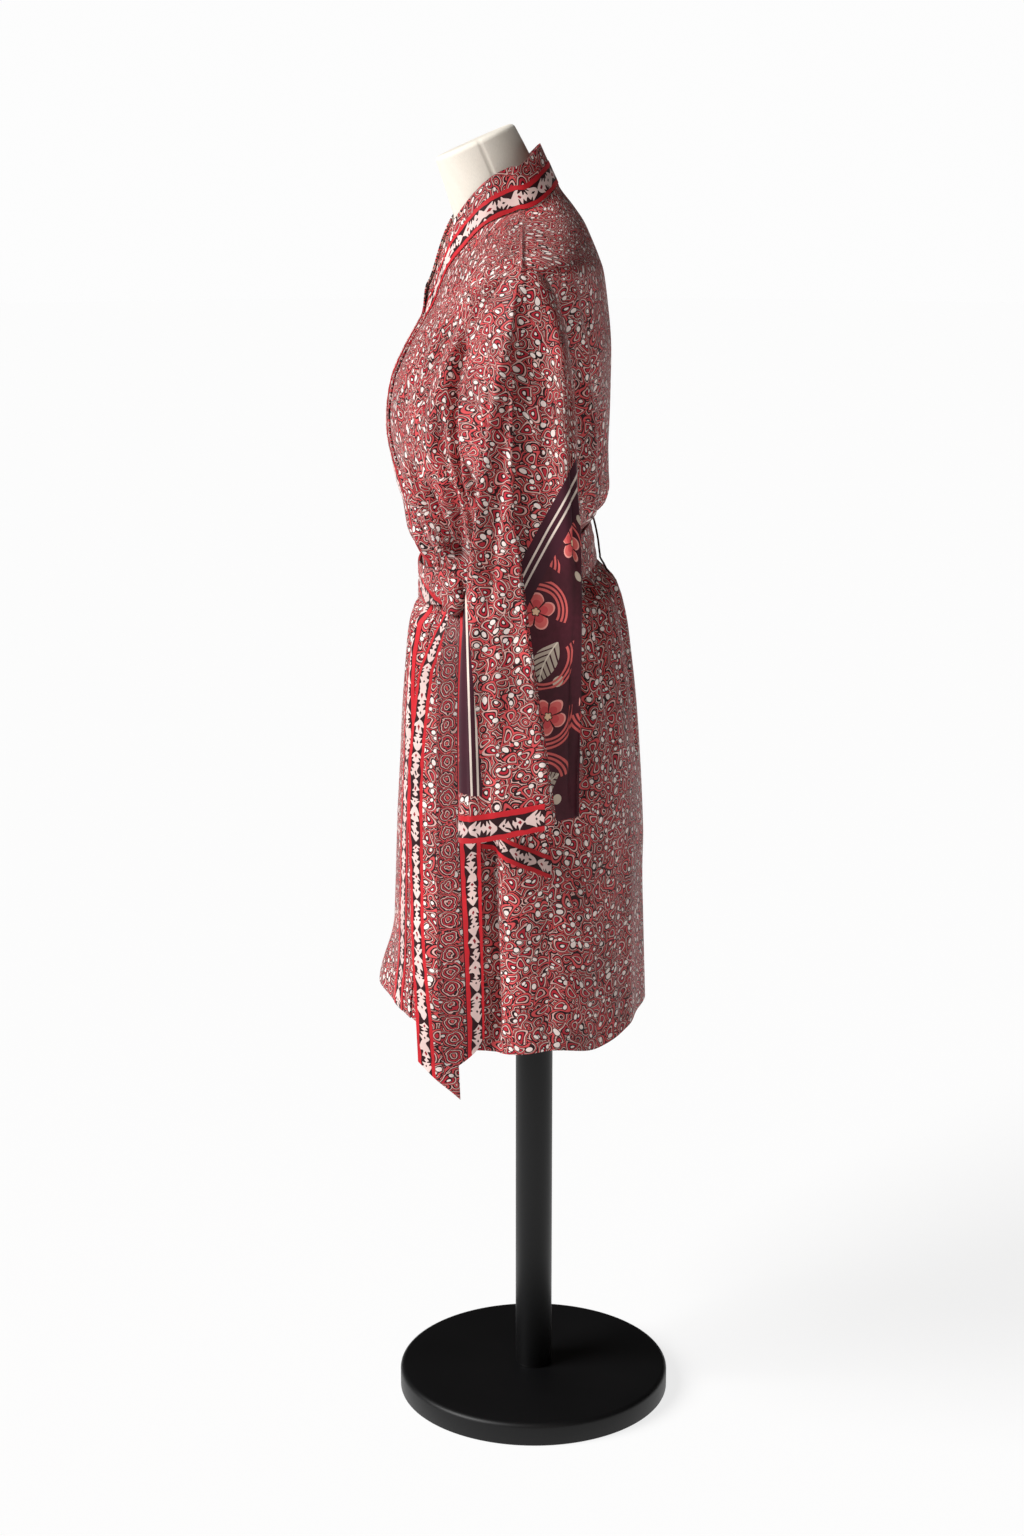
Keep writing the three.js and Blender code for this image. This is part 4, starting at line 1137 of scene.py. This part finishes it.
def sleeve_surface(t, angle):
    t, angle = np.broadcast_arrays(np.asarray(t, float), np.asarray(angle, float))
    rim, tube = armhole_point(angle), sleeve_tube(t, angle)
    outside = smooth((np.cos(angle) + 0.1) / 0.45)
    behind = fold_place(tube)
    grown = smooth((t - 0.02) / 0.17) * outside
    back_of_fold = smooth(behind / 13) * smooth((52 - behind) / 26)
    tuck = np.exp(-(((behind - 6) / 6.5) ** 2))
    tube = tube + np.stack([
        -14.0 * back_of_fold * grown + 2.5 * np.exp(-(((behind + 7) / 9) ** 2)) * grown,
        -10.5 * tuck * grown,
        0 * behind,
    ], axis=-1)
    crease = crease_depth(
        SLEEVE_CREASES, ("a0", "t0", "a1", "t1", "width", "depth", "bow"), np.degrees(angle), t, 1.25, 565.0)
    out = np.stack([np.cos(angle), -np.sin(angle), 0 * angle], axis=-1)
    tube = tube - out * (1.8 * crease * smooth(t / 0.12))[..., None]
    blend = smooth(t / 0.16)[..., None]
    return rim * (1 - blend) + tube * blend


def sleeve_angles(count):
    """Angles round the sleeve from under the arm, closer together at the long fold."""
    fine = np.linspace(180, -180, 2001)
    density = 1 + 2.2 * np.exp(-(((fine + 20) / 20) ** 2))
    run = np.concatenate([[0], np.cumsum((density[1:] + density[:-1]) / 2)])
    return np.radians(np.interp(np.linspace(0, run[-1], count + 1)[:-1], run, fine))


def sleeve_normals(t, angle):
    def clamped(t, angle):
        return sleeve_surface(np.clip(t, 0, 1), angle)
    normals = normal_of(clamped, t, angle, 0.008, 0.02)
    out = np.stack([np.cos(angle) + 0 * t, -np.sin(angle) + 0 * t, 0 * (angle + t)], axis=-1)
    flip = np.sign(np.sum(normals * out, axis=-1, keepdims=True).sum())
    return normals * flip


def sleeve_zones(grid, angles):
    """Where the dark panels lie, as millimetres inside their edges, and places across their stripes."""
    y, z = grid[..., 1], grid[..., 2]
    angle = np.degrees(np.broadcast_to(angles, y.shape))
    climb = (z - WEDGE_FOOT) / WEDGE_HEIGHT
    front = np.minimum(np.minimum(WEDGE_FRONT - 17 * climb - y, z - WEDGE_FOOT), (150 - angle) * 1.2)
    front = np.where(angle > 0, front, -20)
    behind = fold_place(grid)
    slope = (REAR_HIGH[1] - REAR_LOW[1]) / (REAR_HIGH[0] - REAR_LOW[0])
    unrolled = np.where(angle < -90, 2 * y.max() - y, y)
    below = (REAR_LOW[1] + slope * (unrolled - REAR_LOW[0]) - z) / math.hypot(1, slope)
    rear = np.minimum(below, behind + 2)
    rear = np.where((angle < 0) & (angle > -172), rear, -20)
    zone = np.maximum(front, rear)
    stripe = np.where(rear > front, below - 4, WEDGE_FRONT - 5.5 * climb - y)
    return zone, stripe


def make_sleeve(word, side):
    shares = np.concatenate([np.linspace(0, 0.2, 44)[:-1], np.linspace(0.2, 1, 118)])
    angles = sleeve_angles(168)
    grid = sleeve_surface(shares[:, None], angles[None, :])
    zone, stripe = sleeve_zones(grid, angles[None, :])
    uv = cloth_uv(grid, ring=True, along_start=-1)
    sleeve = shell(f"robe_{word}_sleeve", mirrored(grid, side), uv, ring=True,
                   attributes={"zone": zone, "stripe": stripe})
    fine = np.linspace(1, 0.85, 400)
    rise = column(SLEEVE, "t", fine, "outZ") - SLEEVE["outZ"][-1]
    cuff_shares = np.interp(np.linspace(CUFF_BORDER, 0, 9), rise, fine)
    cuff_angles = np.radians(np.linspace(-21, 255, 150))
    rows, columns = cuff_shares[:, None] + 0 * cuff_angles, 0 * cuff_shares[:, None] + cuff_angles
    strip = sleeve_surface(rows, columns) + sleeve_normals(rows, columns) * 0.8
    uv = cloth_uv(strip)[..., ::-1].copy()
    uv[..., 0] = np.linspace(0, BORDER_PRINT, len(cuff_shares))[:, None]
    cuff = shell(f"{word}_cuff_border", mirrored(strip, side), uv, thickness=BORDER_CLOTH)
    return sleeve, cuff


sleeves = {word: make_sleeve(word, side) for word, side in (("left", 1), ("right", -1))}


# ------------------------------------------------------------------ belt
def belt_lift(turn):
    near = wrapped(turn)
    return 1.4 + 6 * smooth((near + 90) / 34) * smooth((60 - near) / 14)


def make_belt():
    share = np.linspace(0, 1, 17)[:, None]
    turns = np.linspace(-180, 180, 241)[None, :-1]
    h = BELT_HEIGHT + BELT_WIDTH * (share - 0.5)
    pulls = sum(
        depth * np.exp(-(((share - place - lean * np.sin(np.radians(turns * pace + start))) / 0.07) ** 2))
        for place, lean, pace, start, depth in (
            (0.22, 0.07, 2, 20, 0.8), (0.44, 0.06, 3, 110, 1.1), (0.66, 0.05, 2, 200, 0.9), (0.84, 0.04, 4, 300, 0.6)))
    crown = 1.5 * (1 - (2 * share - 1) ** 4)
    nip = 1.6 * np.exp(-((wrapped(turns - 52) / 9) ** 2)) * (1 - (2 * share - 1) ** 2)
    grid = cloth_point(h + 0 * turns, turns + 0 * h, belt_lift(turns) + BELT_CLOTH + crown - pulls - nip, 0.0)
    return shell("waist_belt", grid, cloth_uv(grid, ring=True), ring=True, thickness=BELT_CLOTH)


belt = make_belt()


def make_tail(name, tail, foot, slant, creases):
    rows, columns = 150, 20
    share = np.linspace(0, 1, columns + 1)[None, :]
    run = np.linspace(0, 1, rows + 1)[:, None] ** 1.6
    end = foot + slant * (share - 0.5)
    h = TAIL_TOP + (end - TAIL_TOP) * run
    value = {key: column(tail, "h", h, key) for key in ("y", "lift", "flare", "width")}
    middle = turn_at_y(h, value["y"])
    per_degree = np.linalg.norm(robe(h, middle + 0.5) - robe(h, middle - 0.5), axis=-1)
    waves = sum(
        depth * np.sin(2 * math.pi * (share * count + run * pace) + start)
        for count, pace, start, depth in creases) * smooth(run / 0.25)
    off = value["lift"] + value["flare"] * (0.5 - share) + waves
    grid = cloth_point(h, middle + (share - 0.5) * value["width"] / per_degree, off, 0.0)
    uv = cloth_uv(grid)
    uv[..., 0] = share * tail["width"][0] * MM
    return shell(name, grid, uv)


tail_a = make_tail(
    "belt_end_rear", TAIL_A, 446, -32, ((0.6, 1.1, 0.4, 1.2), (1.4, -0.7, 2.0, 0.6), (0.3, 2.6, 1.0, 0.7)))
tail_b = make_tail(
    "belt_end_front", TAIL_B, 482, 53, ((0.7, 1.3, 1.9, 1.3), (1.2, 0.6, 0.2, 0.7), (0.3, 2.2, 3.0, 0.8)))


def make_knot():
    """A flat cloth knot: a rounded lump with the belt's folds wound over it."""
    height = np.array(KNOT_HEIGHT)
    place = turn_at_y(height, np.array(KNOT_Y))
    outward = unit(robe_normal(height, place) * np.array([1, 1, 0]))
    aside = np.array([-outward[1], outward[0], 0])
    centre = robe(height, place) + outward * KNOT_OUT
    v = np.linspace(0.03, math.pi - 0.03, 46)[:, None]
    u = np.linspace(0, 2 * math.pi, 73)[None, :-1]
    x = KNOT_SIZE[0] * signed_power(np.sin(v), 0.8) * signed_power(np.cos(u), 0.85)
    y = KNOT_SIZE[1] * signed_power(np.sin(v), 0.8) * signed_power(np.sin(u), 0.85)
    z = KNOT_SIZE[2] * signed_power(np.cos(v), 0.85) + 0 * u
    wound = np.sin((z * 0.9 + x * 0.55) / 3.6 + 0.8 * np.sin(x / 6)) * 1.3
    waist = 1 - 0.16 * np.exp(-(((z + 2 - 0.5 * x) / 5) ** 2))
    size = (1 + wound / 15) * waist
    points = centre + (x * size)[..., None] * aside + (y * size)[..., None] * outward
    points = points + z[..., None] * np.array([0, 0, 1.0])
    return solid("knot_cloth", points, cloth_uv(points, ring=True), 80)


knot = make_knot()


def make_loop():
    """The sewn thread loop that holds the belt at centre back."""
    rows = np.linspace(LOOP_ROWS["h"][0], LOOP_ROWS["h"][-1], 49)
    path = robe(rows, np.full_like(rows, 180.0)) + robe_normal(rows, np.full_like(rows, 180.0)) * column(
        LOOP_ROWS, "h", rows, "lift")[:, None]
    path[:, 0] = 1.6 * np.sin((rows - rows[0]) / 80 * math.pi * 1.3)
    tangent = unit(np.gradient(path, axis=0))
    aside = unit(np.cross(tangent, np.array([1.0, 0, 0])))
    across = np.cross(tangent, aside)
    u = np.linspace(0, 2 * math.pi, 13)[None, :-1, None]
    rings = path[:, None] + 1.1 * (np.cos(u) * aside[:, None] + np.sin(u) * across[:, None])
    return solid("belt_loop_thread", rings, cloth_uv(rings, ring=True), 80)


loop = make_loop()


def make_pocket_band():
    share = np.linspace(0, 1, 61)[:, None]
    across = np.linspace(0, 1, 9)[None, :]
    (y0, h0), (y1, h1) = POCKET_FORE, POCKET_AFT
    h = h0 + (h1 - h0) * share + POCKET_BAND * (across - 0.5)
    y = y0 + (y1 - y0) * share + 0 * across
    turn = turn_at_y(h, y)
    grid = cloth_point(h, turn, 0.85)
    return shell("pocket_border", grid, cloth_uv(grid), thickness=BORDER_CLOTH)


pocket = make_pocket_band()


# ------------------------------------------------------------------ dress form and stand
def neck_ring(turns, s, inset=0.0, raise_by=0.0):
    value = {k: float(column(NECK_RINGS, "s", np.array(float(s)), k))
             for k in ("foreY", "foreZ", "aftY", "aftZ", "half")}
    depth = math.hypot(value["aftY"] - value["foreY"], value["aftZ"] - value["foreZ"])
    up = unit(np.array([0, value["foreZ"] - value["aftZ"], value["aftY"] - value["foreY"]]))
    c, s_ = np.cos(np.radians(turns)), np.sin(np.radians(turns))
    share = (1 - c * (1 - 2 * inset / depth)) / 2
    return np.stack([
        (value["half"] - inset) * s_,
        value["foreY"] + (value["aftY"] - value["foreY"]) * share,
        value["foreZ"] + (value["aftZ"] - value["foreZ"]) * share,
    ], axis=-1) + up * raise_by


def make_form():
    turns = np.arange(0, 360, 2.5)
    seam = sum(np.exp(-((wrapped(turns - place) / 1.5) ** 2)) for place in (FORM_SEAM, -FORM_SEAM))
    heights = np.concatenate([np.linspace(FORM_FOOT + 1.8, SHOULDER, 66), np.linspace(SHOULDER, FORM_TOP, 4)[1:]])
    body = []
    for h in heights:
        normal = normal_of(ring_point, np.minimum(np.full_like(turns, h), NECK - 1), turns, 1.0, 0.5)
        inset = column(FORM_INSET, "h", np.full_like(turns, h), "inset")
        body.append(ring_point(np.full_like(turns, h), turns) - normal * inset[:, None])
    body[0][:, 2] = FORM_FOOT + 1.3
    under = body[0] * np.array([0.985, 0.985, 1]) + np.array([0, -0.3, 0])
    under[:, 2] = FORM_FOOT
    rings = [under, *body]
    neck = [neck_ring(turns, s, 1.3 * seam) for s in np.linspace(0.12, 3, 40)]
    rounding = [neck_ring(turns, 3, 6 * (1 - math.cos(a)) + 1.2 * seam, 6 * math.sin(a))
                for a in np.radians(np.linspace(12, 90, 7))]
    tacks = sum(np.exp(-((wrapped(turns - place) / 1.6) ** 2)) for place in FORM_TACKS)
    rounding[3] = rounding[3] + unit(rounding[3] - rounding[-1]) * (-0.9 * tacks)[:, None]
    rounding[4] = rounding[4] + unit(rounding[4] - rounding[-1]) * (-0.7 * tacks)[:, None]
    flat = [neck_ring(turns, 3, inset, 6.0) for inset in (10, 18, 28, 38)]
    rings = np.array([*rings, *neck, *rounding, *flat])
    return solid("linen_form", rings, cloth_uv(rings, ring=True), 70)


form = make_form()


def select_only(mesh_part, test):
    """Selects the vertices, edges or faces of the mesh being edited whose centre passes a test."""
    data = bmesh.from_edit_mesh(bpy.context.object.data)
    for group in (data.verts, data.edges, data.faces):
        for item in group:
            item.select = False
    parts = {"edges": data.edges, "faces": data.faces}[mesh_part]
    for item in parts:
        item.select = test(item)
    data.select_flush_mode()
    bmesh.update_edit_mesh(bpy.context.object.data)


def place_mesh(name):
    """Leaves the edited object at the origin, with its place in its mesh."""
    piece = bpy.context.object
    bpy.ops.object.mode_set(mode="OBJECT")
    bpy.ops.object.transform_apply(location=True, rotation=True, scale=True)
    bpy.ops.object.shade_smooth_by_angle(angle=math.radians(35))
    piece.name = piece.data.name = name
    bpy.ops.object.select_all(action="DESELECT")
    return piece


def make_base():
    bpy.ops.object.select_all(action="DESELECT")
    bpy.ops.mesh.primitive_cylinder_add(
        vertices=144, radius=BASE_RADIUS, depth=BASE_HEIGHT, location=(0, 0, BASE_HEIGHT / 2))
    bpy.ops.object.mode_set(mode="EDIT")
    bpy.ops.mesh.select_mode(type="EDGE")
    select_only("edges", lambda e: all(v.co.z > BASE_HEIGHT / 2 - 1e-4 for v in e.verts))
    bpy.ops.mesh.bevel(offset=0.006, segments=6, affect="EDGES")
    select_only("edges", lambda e: all(v.co.z < 1e-4 - BASE_HEIGHT / 2 for v in e.verts))
    bpy.ops.mesh.bevel(offset=0.001, segments=2, affect="EDGES")
    bpy.ops.mesh.select_mode(type="FACE")
    for sign in (1, -1):
        select_only("faces", lambda f: f.normal.z * sign > 0.99 and len(f.verts) > 20)
        bpy.ops.mesh.inset(thickness=0.02)
        bpy.ops.mesh.inset(thickness=0.05)
    return place_mesh("round_base")


def make_pole():
    bpy.ops.object.select_all(action="DESELECT")
    bpy.ops.mesh.primitive_cylinder_add(
        vertices=96, radius=POLE_RADIUS, depth=POLE_LENGTH, location=(0, 0, POLE_MIDDLE))
    bpy.ops.object.mode_set(mode="EDIT")
    bpy.ops.mesh.select_mode(type="FACE")
    for sign, length in ((-1, 0.0025), (1, 0.0006)):
        select_only("faces", lambda f: f.normal.z * sign > 0.99 and len(f.verts) > 20)
        bpy.ops.mesh.inset(thickness=0.0007)
        bpy.ops.mesh.extrude_region_move(TRANSFORM_OT_translate={"value": (0, 0, sign * length)})
        bpy.ops.mesh.inset(thickness=0.004)
    bpy.ops.mesh.select_mode(type="EDGE")

    def on_rim(edge):
        one, two = (v.co for v in edge.verts)
        level = abs(abs(one.z) - POLE_LENGTH / 2) < 1e-4 and abs(one.z - two.z) < 1e-5
        return level and math.hypot(*one.xy) > POLE_RADIUS - 1e-4

    select_only("edges", on_rim)
    bpy.ops.mesh.bevel(offset=0.0005, segments=2, affect="EDGES")
    return place_mesh("pole_tube")


base = make_base()
pole = make_pole()


# ------------------------------------------------------------------ what each piece is
settle(base, black, "stand_black", "base_disc")
settle(pole, black, "stand_black", "pole")
settle(form, linen, "form_linen", "form_body", "neck_cap")
settle(back, paisley_cloth, "printed_cloth", "back")
settle(left_front, paisley_cloth, "printed_cloth", "left_front")
settle(right_front, paisley_cloth, "printed_cloth", "right_front")
for word in ("left", "right"):
    settle(bands[word], paisley_cloth, "printed_cloth", f"neckband_{word}")
    settle(borders[word], border_cloth, "border_cloth", f"border_{word}")
    settle(sleeves[word][0], sleeve_cloth, "printed_cloth", f"{word}_sleeve")
    settle(sleeves[word][1], border_cloth, "border_cloth", f"{word}_cuff")
settle(belt, belt_cloth, "printed_cloth", "belt")
settle(knot, paisley_cloth, "printed_cloth", "belt_knot")
settle(tail_a, tail_a_cloth, "printed_cloth", "belt_tail_a")
settle(tail_b, tail_b_cloth, "printed_cloth", "belt_tail_b")
settle(loop, thread, "printed_cloth", "belt_loop")
settle(pocket, border_cloth, "border_cloth", "pocket_band")

# ------------------------------------------------------------------ floor, light and background
bpy.ops.object.select_all(action="DESELECT")
bpy.ops.mesh.primitive_circle_add(vertices=96, radius=14, fill_type="NGON", location=(0, 0, -0.0005))
floor = bpy.context.object
floor.name = "floor"
bpy.ops.object.transform_apply(location=True)
white = Finish("white floor")
surface = white.done(
    (0.19, 0.19, 0.19, 1), 0.9, Emission_Color=(1, 1, 1, 1), Emission_Strength=0.8, Specular_IOR_Level=0.0)
floor.data.materials.append(surface)


def aimed(back_axis):
    """A light's turn, so that it shines from this direction."""
    back_axis = unit(np.array(back_axis, float))
    across = unit(np.cross([0.0, 0.0, 1.0], back_axis))
    return Matrix(np.array([across, np.cross(back_axis, across), back_axis]).T.tolist()).to_4x4()


def area_light(name, place, aim, size, power, colour):
    data = bpy.data.lights.new(name, "AREA")
    data.shape, data.size, data.energy, data.color = "DISK", size, power, colour
    light = bpy.data.objects.new(name, data)
    light.matrix_world = Matrix.Translation(place) @ aimed(np.array(place, float) - np.array(aim, float))
    bpy.context.scene.collection.objects.link(light)


sun = bpy.data.lights.new("key light", "SUN")
sun.energy, sun.angle = 4.5, math.radians(34)
key = bpy.data.objects.new("key light", sun)
key.matrix_world = Matrix.Translation((1, -2, 3)) @ aimed((0.31, -0.72, 0.62))
bpy.context.scene.collection.objects.link(key)
area_light("fill light", (3.6, 0.9, 1.9), (0, 0, 1.1), 1.6, 8, (1.0, 0.86, 0.76))

world = bpy.data.worlds.new("studio")
bpy.context.scene.world = world
world.use_nodes = True
tree = world.node_tree
sky = tree.nodes["Background"]
seen = tree.nodes.new("ShaderNodeBackground")
seen.inputs[0].default_value = (1, 1, 1, 1)
seen.inputs[1].default_value = 0.98
sky.inputs[0].default_value = (1, 0.92, 0.86, 1)
sky.inputs[1].default_value = 0.03
rays = tree.nodes.new("ShaderNodeLightPath")
blend = tree.nodes.new("ShaderNodeMixShader")
tree.links.new(rays.outputs["Is Camera Ray"], blend.inputs[0])
tree.links.new(sky.outputs[0], blend.inputs[1])
tree.links.new(seen.outputs[0], blend.inputs[2])
tree.links.new(blend.outputs[0], tree.nodes["World Output"].inputs[0])
bpy.context.scene.view_settings.view_transform = "Standard"

bpy.context.view_layer.update()
